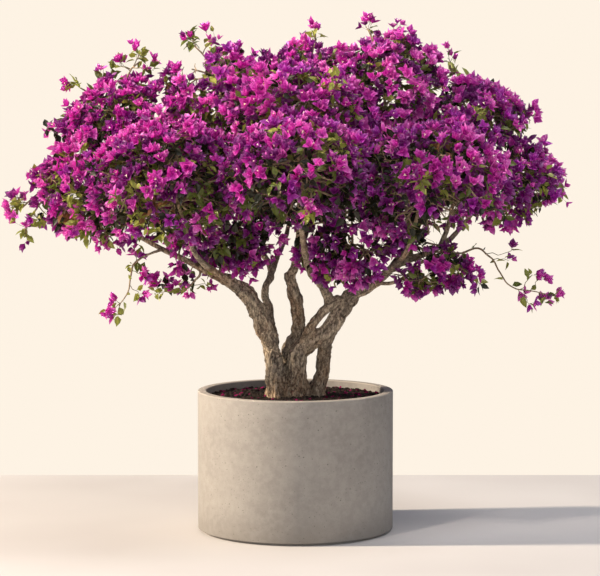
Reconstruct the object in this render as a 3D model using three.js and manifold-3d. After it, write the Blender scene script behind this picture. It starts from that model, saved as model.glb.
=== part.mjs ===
// Bougainvillea bush: an old plant of several fused stems in a round cast concrete pot, with a wide,
// flat-domed crown in full blossom. Millimetres, +Z up, origin at the centre of the pot's underside.
// -Y is the side that the plant is usually seen from, and +X is to its right.
import * as THREE from "three";
import { mergeVertices } from "three/addons/utils/BufferGeometryUtils.js";
import Module from "manifold-3d";

const wasm = await Module();
wasm.setup();

// Pot and soil
const POT_RADIUS = 350;
const POT_HEIGHT = 504;
const POT_WALL = 31;
const POT_FLOOR = 45;
const POT_CHAMFER = 3;
const FOOT_HEIGHT = 9;
const FOOT_INSET = 16;
const POT_SIDES = 40;
const SOIL_BELOW_RIM = 25;
const SOIL_TOP = POT_HEIGHT - SOIL_BELOW_RIM;
const SEAT_GAP = 0.3; // between pieces that touch in the real plant

// Limbs
const STEM_SIDES = 9;
const STEM_RING_STEP = 38;
const STEM_FLUTES = 0.06; // how far an old stem's lumps stand out, as a share of its radius
const ROOT_FLARE = 15; // added to a stem's radius at the soil
const FLARE_HEIGHT = 42;
const BOUGH_SIDES = 6;
const BOUGH_RING_STEP = 75;
const BOUGH_TAPER = 1.5; // a bough thins fastest near its root
const BOUGH_TIP_DEPTH = 0.86; // from the middle of a mass towards its underside, where its bough ends
const BOUGH_FROM_BELOW = 0.9; // how much more a bough comes up from below than from the side
const BOUGH_LEAVING = 0.5; // how much of its carrier's heading a bough keeps as it leaves
const BOUGH_BENDS = [0.35, 0.3]; // length of the bends at its root and tip, as shares of the whole
const BOUGH_SPANS = 4;

// Blossom and leaves: one head of bracts or one leaf stands for a small cluster of real ones
const TWIG_RADIUS = 5;
const BLOSSOM_WIDTH = 150;
const BRACT_TIP = { out: 0.5, up: 0.16 }; // as shares of the width, like the next three
const BRACT_VALLEY = { out: 0.24, up: 0.05 };
const THROAT_RISE = 0.07;
const CALYX_DEPTH = 0.1;
const LEAF_LENGTH = 98;
const LEAF_SHAPE = { half: 0.29, widest: 0.38, keel: 0.07 }; // as shares of the length
const LEAF_SHARE = 0.8; // how far along its twig a leaf stands
const LEAF_FORWARD = 0.3; // how much a leaf leans along its twig
const HEAD_SIZES = [1, 0.75]; // tried in turn where a full head has no room
const SHOOT_HEAD = 0.6; // size of the heads on the shoots that reach out furthest

// Masses of foliage
const FULL_REACH = 260; // mean half width of a full mass
const MASS_TARGETS = 25; // points spread evenly over a full mass; those on the crown's outside are used
const TARGET_DEPTHS = [0.84, 0.98]; // how near the skin of the mass they lie
const TARGET_SIZES = [0.88, 1.12];
const HEAD_LIFT = 0.35; // how much a head on the side of a mass turns up to the light
const MASS_STEM = { sides: 5, bend: 0.45, lift: 12, beyond: 0.35, taper: [0.95, 0.45] };
const CORE_SHARE = 0.76;
const CORE_LUMPS = [0.78, 1.2]; // how far its corners are drawn in or out
const CORE_LEAST = 0.15;
const INNER_SHARE = 0.88; // the part of a mass where no neighbour's blossom stands
const LIMB_CLEARANCE = 4; // between a limb and the foliage round it
const CELL_MARGIN = 1.5; // from a mass to the plane halfway to its neighbour
const STEM_ROOM = 12; // from the middle of a mass's stem to that plane
const DRAW_IN_STEP = 0.08;
const MASS_SEED = 1000;
const SPRAY_SEED = 5000;
const SEED_STEP = 17;
const GOLDEN_TURN = Math.PI * (3 - Math.sqrt(5));

const finish = (color, roughness) => new THREE.MeshStandardMaterial({ color, roughness, metalness: 0 });
const CONCRETE = finish(0xb9b0a3, 0.85);
const SOIL = finish(0x3a2a1f, 0.95);
const BARK = finish(0x7d6a55, 0.9);
const BLOSSOMS = [finish(0xb3179b, 0.6), finish(0xc42aa8, 0.6), finish(0x9a1490, 0.6)];
const LEAVES = finish(0x48602a, 0.6);

// Stems, from below the soil to their forks, with the radius above the root flare and at the fork.
const STEMS = {
  left: {
    thick: 41,
    thin: 26,
    through: [
      [-53, -24, 450], [-59, -24, 501], [-71, -26, 555], [-78, -28, 610], [-86, -28, 660],
      [-101, -30, 712], [-124, -35, 770], [-149, -40, 818],
    ],
  },
  centre: {
    thick: 30,
    thin: 22,
    through: [
      [-14, 22, 450], [-20, 24, 505], [-26, 28, 565], [-27, 30, 615], [-15, 28, 660],
      [8, 24, 708], [11, 20, 755], [4, 18, 815], [-6, 16, 860], [-18, 13, 912],
    ],
  },
  right: {
    thick: 37,
    thin: 29,
    through: [
      [8, -22, 450], [7, -22, 510], [6, -24, 560], [8, -27, 605], [18, -29, 645], [52, -30, 676],
      [98, -30, 704], [133, -26, 742], [160, -20, 785], [182, -14, 820], [196, -11, 840],
    ],
  },
  far_right: {
    thick: 27,
    thin: 23,
    through: [
      [72, 4, 450], [80, 6, 500], [95, 11, 555], [101, 11, 605],
      [105, 4, 650], [114, -12, 690], [124, -24, 722],
    ],
  },
  link: {
    thick: 15,
    thin: 16,
    through: [
      [22, -34, 668], [38, -46, 705], [58, -50, 738],
      [88, -45, 776], [124, -32, 812], [150, -22, 832],
    ],
  },
};

// Boughs whose line shows under the crown. Each starts on the limb that carries it.
const SHOWN_BOUGHS = {
  left_bough: {
    thick: 27,
    thin: 8,
    through: [
      [-149, -40, 818], [-177, -45, 855], [-215, -50, 884], [-306, -60, 935],
      [-346, -60, 982], [-390, -54, 1050], [-431, -35, 1150], [-468, 5, 1245],
    ],
  },
  left_low_bough: {
    thick: 13,
    thin: 8,
    through: [
      [-286, -58, 920], [-338, -75, 946], [-397, -85, 980],
      [-457, -90, 1008], [-540, -84, 1052],
    ],
  },
  back_left_bough: {
    thick: 17,
    thin: 8,
    through: [
      [-92, -12, 706], [-90, 12, 747], [-95, 27, 796], [-109, 42, 834], [-106, 56, 873],
      [-88, 78, 910], [-110, 150, 970], [-190, 240, 1030], [-318, 345, 1100],
    ],
  },
  centre_bough: {
    thick: 19,
    thin: 8,
    through: [
      [-18, 13, 912], [0, 15, 950], [14, 20, 990], [38, 30, 1090],
      [50, 35, 1170], [57, 35, 1260], [60, 32, 1425],
    ],
  },
  front_bough: {
    thick: 18,
    thin: 8,
    through: [
      [124, -22, 812], [109, -37, 858], [88, -52, 895],
      [58, -80, 928], [34, -180, 1010], [15, -450, 1165],
    ],
  },
  right_bough: {
    thick: 22,
    thin: 8,
    through: [
      [196, -11, 840], [217, -10, 853], [248, -11, 869], [285, -13, 892], [332, -15, 932],
      [378, -18, 960], [487, -22, 1005], [540, -22, 1036], [610, -20, 1112],
    ],
  },
  right_low_bough: {
    thick: 8.5,
    thin: 6.5,
    through: [[282, -13, 890], [305, -40, 890], [335, -56, 891], [368, -66, 900]],
  },
};

// Boughs inside the crown: the limb that carries each and how far along it, and the mass that it ends in.
const INNER_BOUGHS = {
  left_front_bough: { from: "left_bough", share: 0.22, thick: 15, thin: 8, into: "left_front" },
  inner_left_bough: { from: "left_bough", share: 0.3, thick: 8, thin: 6, into: "inner_left" },
  top_left_bough: { from: "left_bough", share: 0.68, thick: 9, thin: 6.5, into: "top_left" },
  centre_left_bough: { from: "centre_bough", share: 0.06, thick: 14, thin: 8, into: "top_front" },
  top_back_bough: { from: "centre_bough", share: 0.42, thick: 10, thin: 7.5, into: "top_back" },
  back_bough: { from: "back_left_bough", share: 0.36, thick: 12, thin: 8, into: "back" },
  inner_right_bough: { from: "right_bough", share: 0.04, thick: 10, thin: 7, into: "inner_right" },
  right_front_bough: { from: "right_bough", share: 0.25, thick: 13, thin: 8, into: "right_front" },
  right_back_bough: { from: "right_bough", share: 0.33, thick: 12, thin: 8, into: "right_back" },
  top_right_bough: { from: "right_bough", share: 0.5, thick: 10, thin: 7.5, into: "top_right" },
  right_top_bough: { from: "right_bough", share: 0.73, thick: 9, thin: 7.5, into: "right_top" },
};

// Thin boughs that each end in a trailing spray, and the line that the spray follows past them.
const SPRAYS = {
  left_hanging: {
    from: "left_low_bough",
    share: 0.72,
    bough: [[-505, -118, 1003], [-545, -124, 985]],
    spray: [[-571, -124, 960], [-584, -122, 915], [-592, -120, 870], [-625, -118, 815]],
  },
  left_under: {
    from: "left_low_bough",
    share: 0.2,
    bough: [[-338, -92, 922], [-356, -92, 904]],
    spray: [[-378, -88, 884], [-415, -80, 866], [-462, -74, 862]],
  },
  right_arch: {
    from: "right_bough",
    share: 0.76,
    bough: [[550, -50, 1002], [594, -58, 998]],
    spray: [
      [640, -62, 1016], [684, -62, 990], [722, -58, 940],
      [752, -54, 892], [820, -50, 866], [892, -46, 852],
    ],
  },
  back_left_trailing: {
    from: "back_left_bough",
    share: 0.84,
    bough: [[-286, 372, 1060], [-330, 420, 1030]],
    spray: [[-372, 470, 975], [-392, 505, 910], [-430, 540, 860]],
  },
  back_right_trailing: {
    from: "right_back_bough",
    share: 0.7,
    bough: [[436, 300, 1030], [490, 330, 1012]],
    spray: [[560, 372, 990], [610, 400, 930], [680, 420, 870]],
  },
};
const SPRAY_BOUGH_THICK = 6;
const SPRAY_THICK = 4.5;
const SPRAY_THIN = 2.2;
const SPRAY_RING_STEP = 45;
const SPRAY_SIDES = 4;
const SPRAY_SPACE = 95; // how wide a space a spray is given between the masses
const SPRAY_HEAD = 0.48;
const SPRAY_LEAF = 0.62;
const SPRAY_BARE = 0.25; // share of its length before the first leaf
const SPRAY_BLOSSOM_FROM = 0.55;
const SPRAY_HEAD_OUT = 30; // from the stem to a head
const SPRAY_LEAF_FORWARD = 0.6;

// Masses: centre, half widths, the bough that carries each, and shoots that reach out past it.
const MASSES = {
  left_low: {
    at: [-700, -20, 1225],
    half: [245, 280, 210],
    on: "left_low_bough",
    shoots: [[-925, -20, 1262], [-1020, -20, 1140], [-1000, -25, 1062]],
  },
  left_top: {
    at: [-600, 20, 1430],
    half: [265, 285, 205],
    on: "left_bough",
    shoots: [[-548, 0, 1715], [-795, 0, 1612]],
  },
  left_front: {
    at: [-415, -415, 1255],
    half: [305, 290, 245],
    on: "left_front_bough",
    shoots: [[-600, -670, 1160]],
  },
  left_back: {
    at: [-425, 425, 1265],
    half: [305, 290, 245],
    on: "back_left_bough",
    shoots: [[-640, 670, 1200]],
  },
  inner_left: {
    at: [-245, -70, 1125],
    half: [262, 235, 215],
    on: "inner_left_bough",
    shoots: [],
  },
  top_left: {
    at: [-272, -10, 1530],
    half: [255, 268, 204],
    on: "top_left_bough",
    shoots: [[-375, -20, 1770]],
  },
  top_centre: {
    at: [52, 30, 1558],
    half: [242, 258, 210],
    on: "centre_bough",
    shoots: [[80, 20, 1800]],
  },
  top_front: {
    at: [20, -310, 1470],
    half: [288, 265, 222],
    on: "centre_left_bough",
    shoots: [[-60, -560, 1580]],
  },
  top_back: {
    at: [30, 330, 1475],
    half: [288, 265, 222],
    on: "top_back_bough",
    shoots: [[80, 600, 1590]],
  },
  front: {
    at: [20, -590, 1290],
    half: [290, 255, 210],
    on: "front_bough",
    shoots: [[-60, -840, 1230]],
  },
  back: {
    at: [0, 600, 1265],
    half: [290, 255, 215],
    on: "back_bough",
    shoots: [[60, 850, 1250]],
  },
  inner_right: {
    at: [200, -130, 1072],
    half: [245, 215, 195],
    on: "inner_right_bough",
    shoots: [],
  },
  right_under: {
    at: [440, -85, 962],
    half: [215, 165, 115],
    on: "right_low_bough",
    shoots: [],
  },
  top_right: {
    at: [315, -20, 1565],
    half: [268, 275, 215],
    on: "top_right_bough",
    shoots: [[248, -20, 1826], [400, -10, 1790]],
  },
  right_top: {
    at: [592, 20, 1422],
    half: [268, 285, 225],
    on: "right_top_bough",
    shoots: [[540, 0, 1705], [822, 0, 1540]],
  },
  right: {
    at: [712, -20, 1248],
    half: [250, 280, 175],
    on: "right_bough",
    shoots: [[960, -20, 1190], [872, 0, 1372], [905, -10, 1292]],
  },
  right_front: {
    at: [440, -415, 1255],
    half: [305, 290, 240],
    on: "right_front_bough",
    shoots: [[650, -660, 1180]],
  },
  right_back: {
    at: [440, 430, 1265],
    half: [305, 290, 245],
    on: "right_back_bough",
    shoots: [[650, 670, 1200]],
  },
};

const vector = (p) => new THREE.Vector3(p[0], p[1], p[2]);
const between = ([low, high], share) => low + (high - low) * share;
const UP = new THREE.Vector3(0, 0, 1);

// The same seeded numbers each time.
function seeded(seed) {
  let state = seed >>> 0;
  return () => {
    state = (state + 0x6d2b79f5) >>> 0;
    let t = Math.imul(state ^ (state >>> 15), state | 1);
    t = (t + Math.imul(t ^ (t >>> 7), t | 61)) ^ t;
    return ((t ^ (t >>> 14)) >>> 0) / 4294967296;
  };
}

// A smooth line through waypoints, as evenly spaced samples of a place, a heading and a radius.
function line(waypoints, step, radiusAt) {
  const curve = new THREE.CatmullRomCurve3(waypoints.map(vector), false, "centripetal");
  const count = Math.max(2, Math.round(curve.getLength() / step));
  return Array.from({ length: count + 1 }, (_, k) => {
    const at = curve.getPointAt(k / count);
    return { at, along: curve.getTangentAt(k / count), radius: radiusAt(k / count, at) };
  });
}

// A radius by share of the way along a bough.
const taper = (thick, thin) => (share) => thin + (thick - thin) * (1 - share) ** BOUGH_TAPER;

// A closed geometry as a solid that can be joined and cut.
const WELD = 1e-3;
function solidOf(geometry) {
  for (const name of ["normal", "uv"]) geometry.deleteAttribute(name);
  const merged = mergeVertices(geometry, WELD);
  const vertProperties = new Float32Array(merged.attributes.position.array);
  const triVerts = new Uint32Array(merged.index.array);
  return new wasm.Manifold(new wasm.Mesh({ numProp: 3, vertProperties, triVerts }));
}

// A geometry from corner coordinates and corner numbers.
function indexed(places, faces) {
  const geometry = new THREE.BufferGeometry();
  geometry.setAttribute("position", new THREE.Float32BufferAttribute(places, 3));
  geometry.setIndex(faces);
  return geometry;
}

// A closed limb: one ring of corners at each sample and a flat end at each end.
function limbSolid(samples, sides, grow = 0, flutes = 0) {
  const places = [];
  const faces = [];
  const last = samples.length - 1;
  let across = new THREE.Vector3(0.3, -1, 0.1).cross(samples[0].along);
  samples.forEach(({ at, along, radius }, ring) => {
    across = across.clone().addScaledVector(along, -across.dot(along)).normalize();
    const beside = along.clone().cross(across);
    const slide = ring === 0 ? -grow : ring === last ? grow : 0;
    for (let k = 0; k < sides; k += 1) {
      const turn = (2 * Math.PI * k) / sides;
      const lump = 1 + flutes * (Math.sin(3 * turn + 0.9 * ring) + 0.6 * Math.sin(2 * turn - 1.7 * ring));
      const reach = radius * lump + grow;
      const corner = at.clone().addScaledVector(along, slide);
      corner.addScaledVector(across, Math.cos(turn) * reach).addScaledVector(beside, Math.sin(turn) * reach);
      places.push(...corner.toArray());
      const [low, lowNext] = [ring * sides + k, ring * sides + ((k + 1) % sides)];
      if (ring < last) faces.push(low, lowNext, lowNext + sides, low, lowNext + sides, low + sides);
    }
  });
  for (let k = 1; k + 1 < sides; k += 1) {
    const end = last * sides;
    faces.push(0, k + 1, k, end, end + k, end + k + 1);
  }
  return solidOf(indexed(places, faces));
}

// The largest body of a solid that a cut may have left in several.
function largest(solid) {
  return solid.decompose().reduce((best, body) => (body.volume() > best.volume() ? body : best));
}

const bush = new THREE.Group();
bush.name = "bougainvillea_bush";

function addNode(name, solid, material) {
  const { vertProperties, triVerts } = solid.getMesh();
  const geometry = indexed(Array.from(vertProperties), Array.from(triVerts));
  geometry.computeVertexNormals();
  const mesh = new THREE.Mesh(geometry, material);
  mesh.name = name;
  bush.add(mesh);
}

// Pot: one cast shell turned about the vertical, with a set-in foot and a softened rim.
function addPot() {
  const inner = POT_RADIUS - POT_WALL;
  const foot = POT_RADIUS - FOOT_INSET;
  const profile = [
    [0, 0],
    [foot, 0],
    [foot, FOOT_HEIGHT],
    [POT_RADIUS, FOOT_HEIGHT],
    [POT_RADIUS, POT_HEIGHT - POT_CHAMFER],
    [POT_RADIUS - POT_CHAMFER, POT_HEIGHT],
    [inner, POT_HEIGHT],
    [inner, POT_FLOOR],
    [0, POT_FLOOR],
  ].map(([x, y]) => new THREE.Vector2(x, y));
  addNode("pot", solidOf(new THREE.LatheGeometry(profile, POT_SIDES).rotateX(Math.PI / 2)), CONCRETE);
}

// Soil: fills the pot to just under its rim, flat where the stems stand on it.
function addSoil() {
  const radius = POT_RADIUS - POT_WALL - SEAT_GAP;
  const bottom = POT_FLOOR + SEAT_GAP;
  const cake = new THREE.CylinderGeometry(radius, radius, SOIL_TOP - bottom, POT_SIDES).rotateX(Math.PI / 2);
  addNode("soil", solidOf(cake.translate(0, 0, (SOIL_TOP + bottom) / 2)), SOIL);
}

// Every limb's samples by name, and its solid grown by the seat gap, which later pieces are cut by.
const limbs = new Map();
const cutters = [];
const cutClear = (solid) => cutters.reduce((left, cutter) => left.subtract(cutter), solid);

// Trunk: the stems fused where they meet, with lumps and a root flare, cut flat at the soil.
function addTrunk() {
  const stems = Object.entries(STEMS).map(([name, { thick, thin, through }]) => {
    const flare = (at) => ROOT_FLARE * Math.exp((SOIL_TOP - at.z) / FLARE_HEIGHT);
    const samples = line(through, STEM_RING_STEP, (share, at) => thick + (thin - thick) * share + flare(at));
    limbs.set(name + "_stem", samples);
    return samples;
  });
  const stemSolid = (grow) => (samples) => limbSolid(samples, STEM_SIDES, grow, STEM_FLUTES);
  const fused = (grow) => wasm.Manifold.union(stems.map(stemSolid(grow)));
  const ground = new THREE.BoxGeometry(2 * POT_RADIUS, 2 * POT_RADIUS, SOIL_TOP);
  ground.translate(0, 0, SOIL_TOP / 2 + SEAT_GAP);
  addNode("trunk", fused(0).subtract(solidOf(ground)), BARK);
  cutters.push(fused(SEAT_GAP));
}

// A bough, cut clear of every limb that was made before it.
function addBough(name, waypoints, thick, thin) {
  const samples = line(waypoints, BOUGH_RING_STEP, taper(thick, thin));
  limbs.set(name, samples);
  addNode(name, largest(cutClear(limbSolid(samples, BOUGH_SIDES))), BARK);
  cutters.push(limbSolid(samples, BOUGH_SIDES, SEAT_GAP));
}

// The place and heading a share of the way along a limb.
function partWay(name, share) {
  const samples = limbs.get(name);
  const place = share * (samples.length - 1);
  const i = Math.min(Math.floor(place), samples.length - 2);
  const at = samples[i].at.clone().lerp(samples[i + 1].at, place - i);
  return { at, along: samples[i].along };
}

// Spaces: a mass or spray keeps to its own side of the plane between it and each neighbour.
const spaces = new Map();
for (const [name, { at, half }] of Object.entries(MASSES)) {
  const reach = (half[0] + half[1] + half[2]) / 3;
  spaces.set("mass_" + name, { centre: vector(at), half: vector(half), reach });
}
for (const [name, { spray }] of Object.entries(SPRAYS)) {
  const half = new THREE.Vector3().setScalar(SPRAY_SPACE);
  const centre = vector(spray[Math.floor(spray.length / 2)]);
  spaces.set("spray_" + name, { centre, half, reach: SPRAY_SPACE });
}

// True if a place is in the space of that name, with room to spare.
function inOwnSpace(name, p, room = CELL_MARGIN) {
  const own = spaces.get(name);
  const power = (space) => p.distanceToSquared(space.centre) - space.reach ** 2;
  return [...spaces.values()].every(
    (space) => space === own || power(space) - power(own) > 2 * room * space.centre.distanceTo(own.centre),
  );
}

// A place drawn in towards the middle of its space until it has that room all round.
function drawnIn(name, p, room) {
  const spot = p.clone();
  while (!inOwnSpace(name, spot, room)) spot.lerp(spaces.get(name).centre, DRAW_IN_STEP);
  return spot;
}

// A bough inside the crown leaves its limb on a slant and curves up into the underside of its mass.
function innerRoute({ from, share, into }) {
  const { centre, half } = spaces.get("mass_" + into);
  const start = partWay(from, share);
  const under = start.at.clone().sub(centre).normalize().addScaledVector(UP, -BOUGH_FROM_BELOW).normalize();
  const underside = under.multiply(half).multiplyScalar(BOUGH_TIP_DEPTH).add(centre);
  const tip = drawnIn("mass_" + into, underside, STEM_ROOM);
  const reach = tip.distanceTo(start.at);
  const straight = tip.clone().sub(start.at).normalize();
  const leaving = straight.addScaledVector(start.along, BOUGH_LEAVING).normalize();
  const arriving = centre.clone().sub(tip).normalize();
  const bend = new THREE.CubicBezierCurve3(
    start.at,
    start.at.clone().addScaledVector(leaving, reach * BOUGH_BENDS[0]),
    tip.clone().addScaledVector(arriving, -reach * BOUGH_BENDS[1]),
    tip,
  );
  return bend.getPoints(BOUGH_SPANS).map((p) => p.toArray());
}

// True near the crown's outside: the place is in no other mass's inner part.
function onOutside(name, p) {
  const depth = ({ centre, half }) => p.clone().sub(centre).divide(half).length();
  return [...spaces].every(([other, space]) => other === name || depth(space) > INNER_SHARE);
}

// True if a ball there would touch a limb.
function touchesLimb(p, radius) {
  const nearest = new THREE.Vector3();
  return [...limbs.values()].some((samples) =>
    samples.slice(1).some((end, i) => {
      new THREE.Line3(samples[i].at, end.at).closestPointToPoint(p, true, nearest);
      return nearest.distanceTo(p) < samples[i].radius + radius + LIMB_CLEARANCE;
    }),
  );
}

// A frame of three directions whose third is the heading, spun about it.
function frameOf(heading, spin) {
  const turn = new THREE.Quaternion().setFromUnitVectors(UP, heading);
  const about = new THREE.Quaternion().setFromAxisAngle(UP, spin);
  return new THREE.Matrix4().makeRotationFromQuaternion(turn.multiply(about));
}

// A twig from its root to a place where it opens into a head of three pointed bracts, as one body.
function flowerTwig(from, to, heading, width, spin) {
  const frame = frameOf(heading, spin);
  const third = (2 * Math.PI) / 3;
  const spot = (thirds, reach, rise, base = to) => {
    const out = new THREE.Vector3(Math.cos(thirds * third) * reach, Math.sin(thirds * third) * reach, rise);
    return out.applyMatrix4(frame).add(base).toArray();
  };
  const places = [];
  for (let k = 0; k < 3; k += 1) places.push(spot(k, TWIG_RADIUS, 0, from));
  for (let k = 0; k < 3; k += 1) places.push(spot(k, TWIG_RADIUS, -CALYX_DEPTH * width));
  for (let k = 0; k < 3; k += 1) {
    places.push(spot(k, BRACT_TIP.out * width, BRACT_TIP.up * width));
    places.push(spot(k + 0.5, BRACT_VALLEY.out * width, BRACT_VALLEY.up * width));
  }
  places.push(spot(0, 0, THROAT_RISE * width));
  const [calyx, rim, middle] = [3, 6, 12];
  const faces = [0, 2, 1];
  for (let k = 0; k < 3; k += 1) {
    const next = (k + 1) % 3;
    const [tip, valley, nextTip] = [rim + 2 * k, rim + 2 * k + 1, rim + 2 * next];
    faces.push(k, next, calyx + next, k, calyx + next, calyx + k);
    faces.push(calyx + k, valley, tip, calyx + k, calyx + next, valley, calyx + next, nextTip, valley);
    faces.push(middle, tip, valley, middle, valley, nextTip);
  }
  return indexed(places.flat(), faces);
}

// How many corners of a flower and of a leaf lie at the root.
const FLOWER_ROOT = 3;
const LEAF_ROOT = 1;

// A leaf: a pointed keeled blade of six faces that is widest near its root.
function leaf(at, heading, length, spin) {
  const [half, widest, keel] = ["half", "widest", "keel"].map((part) => LEAF_SHAPE[part] * length);
  const places = [0, 0, 0, half, 0, widest, 0, keel, widest, -half, 0, widest, 0, 0, length];
  const geometry = indexed(places, [0, 2, 1, 0, 3, 2, 0, 1, 3, 4, 1, 2, 4, 2, 3, 4, 3, 1]);
  return geometry.applyMatrix4(frameOf(heading, spin)).translate(at.x, at.y, at.z);
}

// True if a straight twig keeps to its space and clear of the limbs, past its root.
function twigIsClear(name, from, to) {
  const clear = (share) => !touchesLimb(from.clone().lerp(to, share), TWIG_RADIUS);
  return inOwnSpace(name, to, TWIG_RADIUS) && [0.25, 0.4, 0.55, 0.7, 0.85, 1].every(clear);
}

// True if a flower or leaf is in its space and clear of the limbs at every corner past its root, and
// halfway from there to its middle.
function pieceIsClear(name, geometry, rootCorners) {
  const place = geometry.attributes.position;
  const corners = [];
  for (let i = rootCorners; i < place.count; i += 1) {
    corners.push(new THREE.Vector3().fromBufferAttribute(place, i));
  }
  const middle = corners.reduce((sum, p) => sum.add(p), new THREE.Vector3()).divideScalar(corners.length);
  const clear = (p) => !touchesLimb(p, 0) && !touchesLimb(p.lerp(middle, 0.5), 0);
  return corners.every((p) => inOwnSpace(name, p) && clear(p));
}

// Joins a mass or spray into one body, clear of every limb.
function addFoliage(name, stem, pieces, material) {
  addNode(name, largest(cutClear(wasm.Manifold.union([stem, ...pieces]))), material);
}

// The core of a dense mass: a lumpy ball, drawn in where a limb or a neighbour's space is near.
function coreSolid(name, random) {
  const { centre, half } = spaces.get(name);
  const ball = new THREE.IcosahedronGeometry(1, 1);
  for (const attribute of ["normal", "uv"]) ball.deleteAttribute(attribute);
  const geometry = mergeVertices(ball, WELD);
  const place = geometry.attributes.position;
  for (let i = 0; i < place.count; i += 1) {
    const ray = new THREE.Vector3().fromBufferAttribute(place, i).multiply(half);
    let share = CORE_SHARE * between(CORE_LUMPS, random());
    while (share > CORE_LEAST) {
      const p = ray.clone().multiplyScalar(share).add(centre);
      if (inOwnSpace(name, p) && !touchesLimb(p, 2 * TWIG_RADIUS)) break;
      share -= DRAW_IN_STEP * share;
    }
    place.setXYZ(i, ...ray.multiplyScalar(share).add(centre).toArray());
  }
  return solidOf(geometry);
}

// The stem of a mass or spray goes on from its bough's tip.
function stemFrom(boughName) {
  const tip = limbs.get(boughName).at(-1);
  return { root: tip.at.clone().addScaledVector(tip.along, SEAT_GAP), radius: tip.radius, along: tip.along };
}

// A trailing spray: a thin stem past its bough's tip, with leaves along it and small heads near its end.
function addSpray(sprayName, { spray }, index) {
  const name = "spray_" + sprayName;
  const random = seeded(SPRAY_SEED + SEED_STEP * index);
  const { root } = stemFrom(sprayName + "_bough");
  const stem = line([root.toArray(), ...spray], SPRAY_RING_STEP, taper(SPRAY_THICK, SPRAY_THIN));
  const pieces = [];
  const last = stem.length - 1;
  stem.forEach(({ at, along }, k) => {
    const turn = k * GOLDEN_TURN;
    const tilt = HEAD_LIFT * (1 - 2 * random());
    const side = new THREE.Vector3(Math.cos(turn), Math.sin(turn), tilt).normalize();
    const spin = random() * Math.PI;
    if (k / last < SPRAY_BARE) return;
    if (k / last > SPRAY_BLOSSOM_FROM) {
      const heading = k === last ? along : side;
      const out = at.clone().addScaledVector(heading, SPRAY_HEAD_OUT);
      const head = flowerTwig(at, out, heading, BLOSSOM_WIDTH * SPRAY_HEAD, spin);
      if (pieceIsClear(name, head, FLOWER_ROOT)) pieces.push(solidOf(head));
    }
    const heading = side.negate().addScaledVector(along, SPRAY_LEAF_FORWARD).normalize();
    const blade = leaf(at, heading, LEAF_LENGTH * SPRAY_LEAF, spin);
    if (pieceIsClear(name, blade, LEAF_ROOT)) pieces.push(solidOf(blade));
  });
  addFoliage(name, limbSolid(stem, SPRAY_SIDES), pieces, LEAVES);
  limbs.set(name, stem);
  cutters.push(limbSolid(stem, SPRAY_SIDES, SEAT_GAP));
}

// A mass: twigs from its stem to points spread evenly over it, each with blossom at its tip and a leaf.
function addMass(massName, { on, shoots }, index) {
  const name = "mass_" + massName;
  const random = seeded(MASS_SEED + SEED_STEP * index);
  const { centre, half, reach } = spaces.get(name);
  const { root, radius, along } = stemFrom(on);
  const bend = root.clone().lerp(centre, MASS_STEM.bend).addScaledVector(along, MASS_STEM.lift);
  const beyond = drawnIn(name, centre.clone().lerp(root, -MASS_STEM.beyond), STEM_ROOM);
  const route = [root, bend, centre, beyond].map((p) => p.toArray());
  const stem = line(route, BOUGH_RING_STEP, (share) => radius * between(MASS_STEM.taper, share));
  const inside = stem.slice(Math.ceil(stem.length / 2)).map((sample) => sample.at);
  const pieces = [coreSolid(name, random)];

  // Grows one twig with its head, and every second time a leaf beside it, or skips what isn't clear.
  let leafIsNext = true;
  const grow = (target, heading, size) => {
    const nearer = (a, b) => (b.distanceTo(target) < a.distanceTo(target) ? b : a);
    const from = inside.reduce(nearer).clone();
    const spin = random() * Math.PI;
    const side = new THREE.Vector3(random() - 0.5, random() - 0.5, random() - LEAF_FORWARD).normalize();
    const head = flowerTwig(from, target, heading, BLOSSOM_WIDTH * size, spin);
    if (!twigIsClear(name, from, target) || !pieceIsClear(name, head, FLOWER_ROOT)) return false;
    pieces.push(solidOf(head));
    leafIsNext = !leafIsNext;
    if (leafIsNext) return true;
    const sideways = side.addScaledVector(heading, LEAF_FORWARD - side.dot(heading)).normalize();
    const blade = leaf(from.lerp(target, LEAF_SHARE), sideways, LEAF_LENGTH, spin);
    if (pieceIsClear(name, blade, LEAF_ROOT)) pieces.push(solidOf(blade));
    return true;
  };

  const count = Math.round(MASS_TARGETS * (reach / FULL_REACH) ** 2);
  for (let k = 0; k < count; k += 1) {
    const height = 1 - (2 * k + 1) / count;
    const ring = Math.sqrt(1 - height * height);
    const way = new THREE.Vector3(Math.cos(k * GOLDEN_TURN) * ring, Math.sin(k * GOLDEN_TURN) * ring, height);
    const depth = between(TARGET_DEPTHS, random());
    const target = way.clone().multiply(half).multiplyScalar(depth).add(centre);
    const size = between(TARGET_SIZES, random());
    const heading = way.addScaledVector(UP, HEAD_LIFT).normalize();
    if (onOutside(name, target)) HEAD_SIZES.some((share) => grow(target, heading, size * share));
  }
  for (const shoot of shoots) {
    const target = vector(shoot);
    const heading = target.clone().sub(centre).normalize();
    HEAD_SIZES.some((share) => grow(target, heading, SHOOT_HEAD * share));
  }
  addFoliage(name, limbSolid(stem, MASS_STEM.sides), pieces, BLOSSOMS[index % BLOSSOMS.length]);
}

addPot();
addSoil();
addTrunk();
for (const [name, { through, thick, thin }] of Object.entries(SHOWN_BOUGHS)) {
  addBough(name, through, thick, thin);
}
for (const [name, bough] of Object.entries(INNER_BOUGHS)) {
  addBough(name, innerRoute(bough), bough.thick, bough.thin);
}
for (const [name, { from, share, bough }] of Object.entries(SPRAYS)) {
  const waypoints = [partWay(from, share).at.toArray(), ...bough];
  addBough(name + "_bough", waypoints, SPRAY_BOUGH_THICK, SPRAY_THICK);
}
Object.entries(SPRAYS).forEach(([name, spray], index) => addSpray(name, spray, index));
Object.entries(MASSES).forEach(([name, mass], index) => addMass(name, mass, index));

export default bush;
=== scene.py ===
import math

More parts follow.
